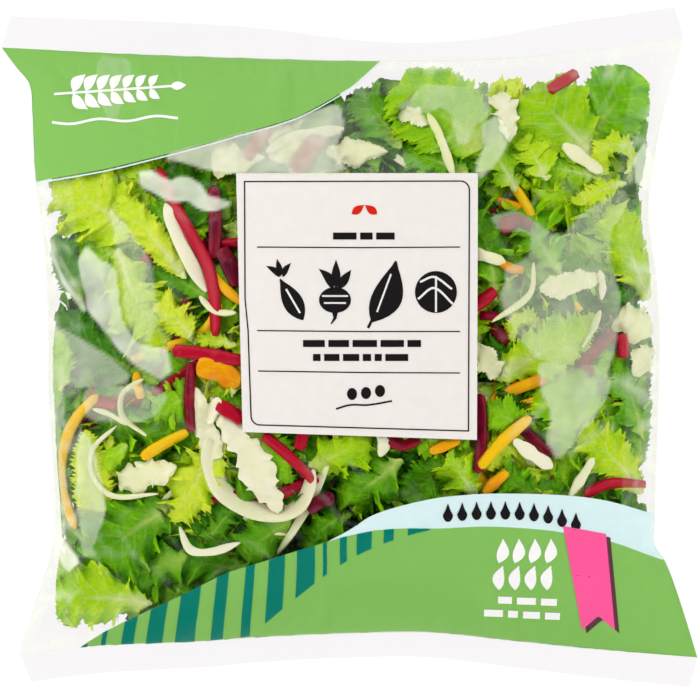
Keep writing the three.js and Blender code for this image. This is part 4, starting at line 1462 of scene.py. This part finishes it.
CARROT_COUNTS = 26, 14  # drawn strips under the front film, and on the back one
carrot_rng = np.random.default_rng(41)
seen = np.stack([seen_path(path) for path, _, _ in CARROTS_SEEN])
loose, hidden = (drawn_paths(carrot_rng, count, (30, 60), 0.18) for count in CARROT_COUNTS)
seen_wide, seen_deep = np.array([row[1:] for row in CARROTS_SEEN]).T
seen_wide = tapered(len(seen), seen_wide, carrot_rng, 0.6, 0.06, 30)
carrot_points = np.concatenate([
    strips(seen, seen_wide, 2.4, seen_deep, 0.5, 0.3, 42),
    cut_strips(carrot_rng, loose, (3, 4.6), 2.6, (4, 11), 43),
    cut_strips(carrot_rng, hidden, (3, 4.6), 2.6, (0.3, 4), 44, face=-1),
])
# Painted shade: seen strips that lie deeper get the deeper, darker tone.
seen_shade_tone = np.clip((seen_deep - 0.3) / 1.3, 0, 1) * 0.7
drawn_tone = carrot_rng.uniform(0, 0.7, sum(CARROT_COUNTS))
make_strips("carrot_strips", carrot_points, seen_shade_tone, drawn_tone, CARROT, "carrot")

# %% [markdown]
# Beet is cut like the carrot. Its red is bright right under the film and nearly black between leaves, where
# it lies in shade. So the seen strips that lie deeper get the deeper tone, which is painted shade, and the
# others get a drawn tone.

# %% Beet
BEET_COUNTS = 30, 16
beet_rng = np.random.default_rng(51)
seen = np.stack([seen_path(path) for path, _, _ in BEETS_SEEN])
loose, hidden = (drawn_paths(beet_rng, count, (30, 66), 0.16) for count in BEET_COUNTS)
seen_wide, seen_deep = np.array([row[1:] for row in BEETS_SEEN]).T
seen_wide = tapered(len(seen), seen_wide, beet_rng, 0.85, 0.04, 60)
beet_points = np.concatenate([
    strips(seen, seen_wide, 2.4, seen_deep, 0.5, 0.3, 52),
    cut_strips(beet_rng, loose, (3, 4.8), 2.8, (4, 12), 53),
    cut_strips(beet_rng, hidden, (3, 4.8), 2.8, (0.3, 4), 54, face=-1),
])
seen_shade_tone = np.clip((seen_deep - 1) / 1.6, 0, 1) * 0.8
drawn_tone = beet_rng.uniform(0, 0.8, sum(BEET_COUNTS))
make_strips("beet_strips", beet_points, seen_shade_tone, drawn_tone, BEET, "beet")

# %% [markdown]
# Cabbage shreds are slices across layered leaves: thin, narrow at both ends and well bent. They and the
# sheets that were laid first are one piece.

# %% Cabbage
CABBAGE_COUNTS = 30, 24
cabbage_rng = np.random.default_rng(71)
seen = np.stack([seen_path(path) for path, _, _ in CABBAGE_SEEN])
loose, hidden = (drawn_paths(cabbage_rng, count, (26, 70), 0.34) for count in CABBAGE_COUNTS)
seen_wide, seen_deep = np.array([row[1:] for row in CABBAGE_SEEN]).T
seen_wide = tapered(len(seen), seen_wide, cabbage_rng, 0.5, 0.12)
loose_wide = tapered(len(loose), cabbage_rng.uniform(1.6, 6, len(loose)), cabbage_rng)
hidden_wide = tapered(len(hidden), cabbage_rng.uniform(2, 8, len(hidden)), cabbage_rng)
cabbage_points = np.concatenate([
    strips(seen, seen_wide, 1.0, seen_deep, 0.6, 0.5, 72),
    strips(loose, loose_wide, 1.0, cabbage_rng.uniform(5, 12, len(loose)), 0.7, 1.6, 73),
    strips(hidden, hidden_wide, 1.2, cabbage_rng.uniform(0.3, 5, len(hidden)), 0.8, 1.6, 74, face=-1),
])
count = len(cabbage_points)
tone = np.broadcast_to(cabbage_rng.uniform(0, 0.8, (count, 1, 1)), cabbage_points.shape[:3])
sheet_faces = repeated(grid_faces(*sheet_points.shape[1:3]), len(sheet_points), sheet_points[0].size // 3)
faces = strip_faces(count, PATH_STEPS) + [sheet_faces + tone.size]
pairs = [(cabbage_points, sheet_points), (strip_uv(cabbage_points), sheet_uv), (tone, sheet_tone)]
points, uv, tone = (
    np.concatenate([a.reshape(-1, size), b.reshape(-1, size)]) for (a, b), size in zip(pairs, (3, 2, 1))
)
make_piece("cabbage_shreds", points, faces, CABBAGE, "cabbage", uv=uv, tone=tone)

# %% [markdown]
# ## The print
#
# The ink is printed on the film, so it follows every crease and the film's gloss lies over it. A decal or
# an image would do this too, but the ink is only a few flat colours with clean edges. So each colour is a
# thin sheet just below the film: the large fields are grids between two curves in s and t, and the small
# shapes are grids laid out in the picture and dropped onto the film.

# %% Ink helpers
INK_DEPTH = 0.35  # mm below the film


def inward(points, depth, face=1):
    """A grid of points moved into the bag along the grid's own normals. It moves less where the bag is
    thin."""
    normal = np.cross(np.gradient(points, axis=1), np.gradient(points, axis=0))
    normal /= np.linalg.norm(normal, axis=-1, keepdims=True) + 1e-9
    x, y = points[..., 0], points[..., 1]
    gap = read_map(front_map, x, y) - read_map(back_map, x, y)
    return points - face * normal * np.minimum(depth, 0.3 * np.maximum(gap, 0))[..., None]


def field(s_range, low, high, rows, columns, depth=INK_DEPTH, lean=0.0, face=1):
    """A grid on the film between two curves. low and high are tables of (s, t) or single values of t. With
    a lean, places further below the upper curve move to the left."""
    s, k = np.meshgrid(np.linspace(*s_range, columns), np.linspace(0, 1, rows))
    bottom, top = (
        look_up(edge, s) if isinstance(edge, list) else np.full(s.shape, float(edge)) for edge in (low, high)
    )
    t = np.clip(mix(bottom, np.maximum(top, bottom), k), 0, 1)
    s = np.clip(s + lean * (t - top), 0, 1)
    return inward((film_front if face > 0 else film_back)(s, t), depth, face)


def dropped(grid, depth):
    """A grid of pixels dropped onto the film. It is turned over if its faces would look down."""
    x, y = under(grid[..., 0], grid[..., 1])
    points = np.stack([x, y, read_map(front_map, x, y) - depth], -1)
    facing = np.cross(np.gradient(points, axis=1), np.gradient(points, axis=0))[..., 2].mean()
    return points if facing > 0 else points[:, ::-1]


def make_ink(name, grids, material, slot, face=1):
    """One piece from several grids of points."""
    starts = np.cumsum([0] + [g.shape[0] * g.shape[1] for g in grids[:-1]])
    faces = np.concatenate([grid_faces(*g.shape[:2]) + start for g, start in zip(grids, starts)])
    points = np.concatenate([g.reshape(-1, 3) for g in grids])
    return make_piece(name, points, [faces if face > 0 else faces[:, ::-1]], material, slot)


def ink_finish(name, colour, roughness=0.4):
    """Flat ink with a very slight unevenness of its layer."""
    w = Wiring(name)
    thin = tuple(min(value * 1.03, 1.0) for value in colour)
    tint = w.blend(w.spread(w.noise(260, 3.0), 0.4, 0.75), colour, thin)
    return w.finish(
        w.node("BsdfPrincipled", Base_Color=tint, Roughness=roughness, Specular_IOR_Level=0.01)
    )


GREEN = ink_finish("print_green", rgb(134, 194, 94))
TEAL = ink_finish("print_teal", rgb(0, 127, 109))
PALE = ink_finish("print_pale", rgb(218, 243, 242))
PINK = ink_finish("print_pink", rgb(254, 93, 158))
PLUM = ink_finish("print_plum", rgb(96, 60, 66))
WHITE = ink_finish("print_white", rgb(250, 252, 246))
CREAM = ink_finish("label_cream", rgb(238, 235, 228), 0.5)
BLACK = ink_finish("label_black", rgb(30, 28, 28))
RED = ink_finish("label_red", rgb(216, 40, 24))

# %% [markdown]
# The front has a green field in the top left corner, with a thin pale line along its curve, and a green
# field along the bottom that rises from the left weld. Teal stripes hang from the lower field's edge, and a
# pale blue band lies over it on the right. The tube is one sheet, so both greens run on over the side onto
# the back.

# %% Green fields, stripes and pale band
STRIPE_END = [(0.0, 0.0), *traced([(250, 637), (264, 626), (295, 600), (340, 566), (384, 544), (440, 528)])]
STRIPES = [  # left and right end in pixels, where each hangs from the field's upper edge
    (78, 88), (103, 108), (125, 138), (151, 168), (181, 201), (217, 229), (246, 255), (269, 285), (297, 315),
    (323, 327), (340, 347), (357, 372), (384, 394), (408, 430),
]

corner_s = CORNER_EDGE[-1][0]
corner = field((0.0, corner_s), CORNER_EDGE, 1.0, 70, 180)
lower_edge = [(s, t - 0.002) for s, t in CORNER_EDGE]
pale_line = field((0.0, corner_s), [(s, t - 0.0046) for s, t in CORNER_EDGE], lower_edge, 3, 180)
ground = field((GROUND_EDGE[0][0], 1.0), 0.0, GROUND_EDGE, 70, 230)
band = field((BAND_LOWER[0][0], 1.0), BAND_LOWER, BAND_UPPER, 20, 160)
corner_back = field((0.0, 0.5), [(0.0, CORNER_EDGE[0][1]), (0.5, 1.0)], 1.0, 20, 50, face=-1)
ground_back = field((0.35, 1.0), 0.0, [(0.35, 0.0), (1.0, BAND_LOWER[-1][1])], 20, 50, face=-1)
stripes = []
for ends in STRIPES:
    (s_left, _), (s_right, _) = traced([(x, look_up(RISE + BAND_LOWER_PIXELS, x)) for x in ends])
    stripes.append(field((s_left, s_right), STRIPE_END, GROUND_EDGE, 60, 7, INK_DEPTH - 0.12, lean=0.015))

make_ink("green_fields", [corner, ground], GREEN, "print_green")
make_ink("green_fields_back", [corner_back, ground_back], GREEN, "print_green", face=-1)
make_ink("corner_line", [pale_line], PALE, "print_pale")
make_ink("pale_band", [band], PALE, "print_pale")
make_ink("teal_stripes", stripes, TEAL, "print_teal")

# %% [markdown]
# ### Small shapes
#
# Small shapes are built from three kinds of grid: a ribbon along a path, a leaf blade between two points,
# and a disc that is a square grid pressed round, so that it has no pole.

# %% Shape helpers
def ribbon(path, width, step=3.0, across=2):
    """A band of pixels along a path of straight pieces, with mitred corners. Long pieces are cut into
    steps, so that the band can follow the film."""
    path = np.asarray(path, float)
    run = np.concatenate([[0], np.cumsum(np.hypot(*np.diff(path, axis=0).T))])
    at = np.unique(np.concatenate([run, np.linspace(0, run[-1], max(int(run[-1] / step), 1) + 1)]).round(6))
    points = np.stack([np.interp(at, run, column) for column in path.T], -1)
    width = np.interp(at, run, width) if np.ndim(width) else np.full(len(at), float(width))
    way = np.diff(points, axis=0)
    way /= np.linalg.norm(way, axis=1, keepdims=True)
    before, after = np.vstack([way[:1], way]), np.vstack([way, way[-1:]])
    mid = before + after
    mid /= np.linalg.norm(mid, axis=1, keepdims=True)
    mitre = width / 2 / np.maximum((mid * before).sum(1), 0.5)
    side = np.stack([-mid[:, 1], mid[:, 0]], -1) * mitre[:, None]
    k = np.linspace(-1, 1, across + 1)[None, :, None]
    return points[:, None] + side[:, None] * k


def curve(*points, steps=24):
    """A smooth path through a few pixels."""
    return smooth_path(points, steps)


def blade(base, tip, width, bend=0.0, steps=12):
    """A pointed leaf between two pixels: its width follows a sine that is widest below the middle, and its
    midline bows to one side."""
    base, tip = np.array(base, float), np.array(tip, float)
    k = np.linspace(0, 1, steps)
    way = tip - base
    side = np.array([-way[1], way[0]])
    midline = base + way * k[:, None] + side * (bend * np.sin(np.pi * k))[:, None]
    half = width / 2 * np.maximum(np.sin(np.pi * k**0.8), 0.06)
    across = side / np.linalg.norm(side)
    return midline[:, None] + across * half[:, None, None] * np.linspace(-1, 1, 5)[None, :, None]


def disc(x, y, radius_x, radius_y=None, steps=9, point=0.0):
    """A round shape: a square grid pressed onto a disc. With a point, its top is drawn up to a tip, as in a
    drop."""
    u, v = np.meshgrid(np.linspace(-1, 1, steps), np.linspace(-1, 1, steps))
    across, down = u * np.sqrt(1 - v * v / 2), v * np.sqrt(1 - u * u / 2)
    rise = np.clip(-down, 0, 1)
    across = across * (1 - point * rise)
    down = down - point * rise**2 * (1 - np.abs(across)) * 0.9
    return np.stack([x + across * radius_x, y + down * (radius_y or radius_x)], -1)


def sprig(start, end, pairs, length, width, stem=1.6):
    """A twig: a stem with blades in pairs that get shorter towards its end, and one at the tip."""
    start, end = np.array(start, float), np.array(end, float)
    way = (end - start) / np.hypot(*(end - start))
    side = np.array([-way[1], way[0]])
    shapes = [ribbon([start, end], stem)]
    for number in range(pairs):
        k = 0.16 + 0.76 * number / pairs
        base, size = mix(start, end, k), length * (1 - 0.45 * k)
        for turn in (-1, 1):
            tip = base + way * size * 0.62 + side * turn * size * 0.78
            shapes.append(blade(base + side * turn * stem * 0.6, tip, width * (1 - 0.4 * k), 0.12 * turn))
    return shapes + [blade(end - way * 1.5, end + way * length * 0.6, width * 0.7)]


# %% [markdown]
# The shapes are plain ones: an ear of grain over a wavy line, rows of leaf shapes, bars and drops, and a
# pennant with its shadow. Each lies about a tenth of a millimetre above the colour below it.

# %% Small shapes on the green fields
def drop_all(shapes, depth):
    return [dropped(shape, depth) for shape in shapes]


twig = sprig((54, 94), (172, 86), 7, 24, 12, 2.4)
wave_x = np.linspace(52, 178, 60)
underline = ribbon(np.stack([wave_x, 123 - 0.05 * (wave_x - 52) + 1.8 * np.sin(wave_x / 9)], -1), 2.6)
row_upper = [blade((499 + 16 * i, 563), (503 + 16 * i, 539), 12, 0.1) for i in range(4)]
row_lower = [blade((499 + 16 * i, 590), (503 + 16 * i, 566), 12, -0.1) for i in range(4)]
DASHES = [  # y, left and right end in pixels
    (600, 498, 512), (601, 517, 536), (602, 541, 557), (613, 484, 503), (614, 508, 518), (615, 523, 540),
    (616, 545, 560),
]
dashes = [ribbon([(left, y), (right, y + 0.5)], 7) for y, left, right in DASHES]
white_shapes = drop_all(twig + [underline] + row_upper + row_lower + dashes, 0.23)
make_ink("white_shapes", white_shapes, WHITE, "print_white")

DROP_ROW = curve((448, 513), (480, 511), (515, 511), (545, 514), (576, 522), steps=10)
drops = [disc(x, y + 2, 5.0, 7.0, point=0.7) for x, y in DROP_ROW]
make_ink("water_drops", drop_all(drops, 0.2), BLACK, "label_ink")


def pennant(shift_x=0.0, shift_y=0.0):
    """A hanging ribbon that leans a little, with a notch cut into its lower end."""
    u, v = np.meshgrid(np.linspace(0, 1, 14), np.linspace(0, 1, 30))
    notch = 14 * (1 - np.abs(2 * u - 1))
    left, right = mix(563, 582, v), mix(606, 615, v)
    top = mix(526, 534, u)
    return np.stack([mix(left, right, u) + shift_x, mix(top, 630 - notch, v) + shift_y], -1)


make_ink("pennant_shadow", drop_all([pennant(4.5, 3.5)], 0.27), PLUM, "print_plum")
make_ink("pennant", drop_all([pennant()], 0.2), PINK, "print_pink")

# %% [markdown]
# ### The label panel
#
# The cream panel in the middle is printed too. A thin dark line runs round it, square in two corners and
# round in the other two, and three rules divide it. Stamp-like vegetables stand in the place of the title.

# %% Label panel
LABEL_CORNERS = np.array([[(236, 173), (478, 173)], [(242.6, 432), (477, 440)]], float)


def label_grid(rows=150, columns=140):
    """Pixels of the panel, from its four corners."""
    u, v = np.meshgrid(np.linspace(0, 1, columns), np.linspace(0, 1, rows))
    top = mix(LABEL_CORNERS[0, 0], LABEL_CORNERS[0, 1], u[..., None])
    return mix(top, mix(LABEL_CORNERS[1, 0], LABEL_CORNERS[1, 1], u[..., None]), v[..., None])


make_ink("label_panel", drop_all([label_grid()], INK_DEPTH), CREAM, "label")


def quarter(x, y, radius, start):
    """Points of a quarter circle in the picture, from an angle in degrees."""
    turn = np.radians(np.linspace(start, start + 90, 8))
    return list(zip(x + radius * np.cos(turn), y + radius * np.sin(turn)))


frame_path = [(245, 300), (244.5, 181.5), *quarter(460.5, 190, 9, -90), (469, 300), (468.5, 431),
              *quarter(260, 416, 9, 90), (248, 330), (245, 299)]
rules = [[(257, 247), (360, 247.6), (460, 247)], [(257, 330.6), (360, 331.5), (460, 331.5)],
         [(258, 371), (360, 372.5), (460, 373)]]
text_rng = np.random.default_rng(9)


def broken_bar(x_from, x_to, y, height):
    """A row of short bars with gaps, as a line of small print looks from afar."""
    shapes, x = [], float(x_from)
    while x < x_to - 4:
        end = min(x + text_rng.uniform(7, 26), x_to)
        shapes.append(ribbon([(x, y), (end, y)], height))
        x = end + 3.6
    return shapes


carrot_mark = [blade((303, 320), (280, 279), 20, 0.0), blade((280, 277), (266, 266), 6, 0.1),
               blade((281, 276), (277, 259), 6), blade((283, 277), (291, 263), 6, -0.1)]
beet_mark = [disc(335, 300, 16, 13), ribbon([(335, 312), (335, 318), (331, 324)], [6, 3, 1]),
             blade((333, 289), (319, 269), 9, 0.12), blade((336, 288), (336, 260), 9),
             blade((338, 289), (351, 270), 9)]
leaf_mark = [blade((372, 322), (396, 261), 30, 0.08), ribbon([(368, 328), (374, 316)], 2.6)]
cabbage_mark = [disc(436, 292, 21, 21)]
swash = ribbon(curve((336, 409), (350, 405), (368, 405), (392, 401)), 1.8)
cream_lines = [ribbon([(286, 289), (300, 313)], 2.0), ribbon([(377, 312), (391, 274)], 1.8),
               ribbon(curve((420, 282), (434, 277), (452, 289)), 2.2), ribbon([(436, 276), (436, 312)], 2.0),
               ribbon(curve((418, 299), (434, 288), (453, 304)), 2.2), ribbon([(322, 296), (348, 296)], 1.7),
               ribbon([(324, 303), (346, 303)], 1.7)]
thin_lines = [ribbon(frame_path, 1.3), *[ribbon(rule, 1.2) for rule in rules], swash]
label_ink = [*carrot_mark, *beet_mark, *leaf_mark, *cabbage_mark, *broken_bar(333, 396, 236, 7),
             *broken_bar(303, 421, 343.5, 7), *broken_bar(313, 411, 357.5, 7), disc(352, 394, 5, 6),
             disc(366, 393, 5, 6), disc(380, 391, 5, 6)]
make_ink("label_black", drop_all(thin_lines + label_ink, 0.23), BLACK, "label_ink")
make_ink("label_cream_lines", drop_all(cream_lines, 0.15), CREAM, "label")
red_mark = [blade((352, 214), (364, 205), 8), blade((377, 214), (365, 205), 8)]
make_ink("label_red", drop_all(red_mark, 0.23), RED, "label_red")

# %% [markdown]
# ## Studio
#
# A pale floor and soft light. Three large softboxes stand low and off to the sides, so that only tilted
# patches of film mirror them and the middle stays clear. Two small ones put sparks on the folds.

# %% Floor, lights and world
def floor_finish():
    """A light table: it glows white all over, so it shows no shadow, and it lights the film's rims from
    below."""
    w = Wiring("light_table")
    glow = w.blend(w.noise(3, 2.0), (0.99, 0.99, 0.99, 1), (1, 1, 1, 1))
    return w.finish(
        w.node(
            "BsdfPrincipled", Base_Color=(0.02, 0.02, 0.02, 1), Roughness=0.9, Specular_IOR_Level=0.0,
            Emission_Color=glow, Emission_Strength=1.02
        )
    )


FLOOR_HALF, FLOOR_HEIGHT = 6.0, -0.0002  # metres
floor_mesh = bpy.data.meshes.new("floor")
corners = [(FLOOR_HALF * x, FLOOR_HALF * y, FLOOR_HEIGHT) for x, y in ((-1, -1), (1, -1), (1, 1), (-1, 1))]
floor_mesh.from_pydata(corners, [], [(0, 1, 2, 3)])
floor_mesh.materials.append(floor_finish())
floor = bpy.data.objects.new("floor", floor_mesh)
bpy.context.scene.collection.objects.link(floor)


def softbox(name, place, size, power):
    """A rectangular area light at place, in metres, turned to face the bag."""
    data = bpy.data.lights.new(name, "AREA")
    data.shape, data.size, data.size_y, data.energy = "RECTANGLE", *size, power
    lamp = bpy.data.objects.new(name, data)
    place = np.array(place, float)
    lamp.location = place
    flat = np.hypot(*place[:2])
    lamp.rotation_euler = (np.arctan2(flat, place[2]), 0, np.arctan2(place[0], -place[1]))
    bpy.context.scene.collection.objects.link(lamp)


softbox("left_box", (-1.25, 0.55, 1.05), (1.7, 1.7), 25)
softbox("right_box", (1.3, 0.1, 0.95), (1.6, 1.6), 16)
softbox("low_box", (0.1, -1.75, 0.8), (2.4, 1.2), 17)
softbox("spark", (-0.35, 0.8, 1.0), (0.08, 0.08), 1.8)
softbox("second_spark", (0.5, 0.5, 1.2), (0.06, 0.06), 1.2)


def sky(low, high):
    """A white surround that is bright at the horizon and dim overhead, so that flat film mirrors little."""
    world = bpy.data.worlds.new("studio")
    world.use_nodes = True
    tree = world.node_tree
    split, scale = tree.nodes.new("ShaderNodeSeparateXYZ"), tree.nodes.new("ShaderNodeMapRange")
    tree.links.new(tree.nodes.new("ShaderNodeTexCoord").outputs["Generated"], split.inputs[0])
    tree.links.new(split.outputs[2], scale.inputs[0])
    for socket, value in zip(scale.inputs[1:5], (0.25, 0.85, low, high)):
        socket.default_value = value
    tree.links.new(scale.outputs[0], tree.nodes["Background"].inputs["Strength"])
    tree.nodes["Background"].inputs["Color"].default_value = (1, 1, 1, 1)
    return world


bpy.context.scene.world = sky(0.55, 0.08)
bpy.context.scene.view_settings.view_transform = "Standard"
print(len(bpy.data.lights), "lights over a glowing floor")
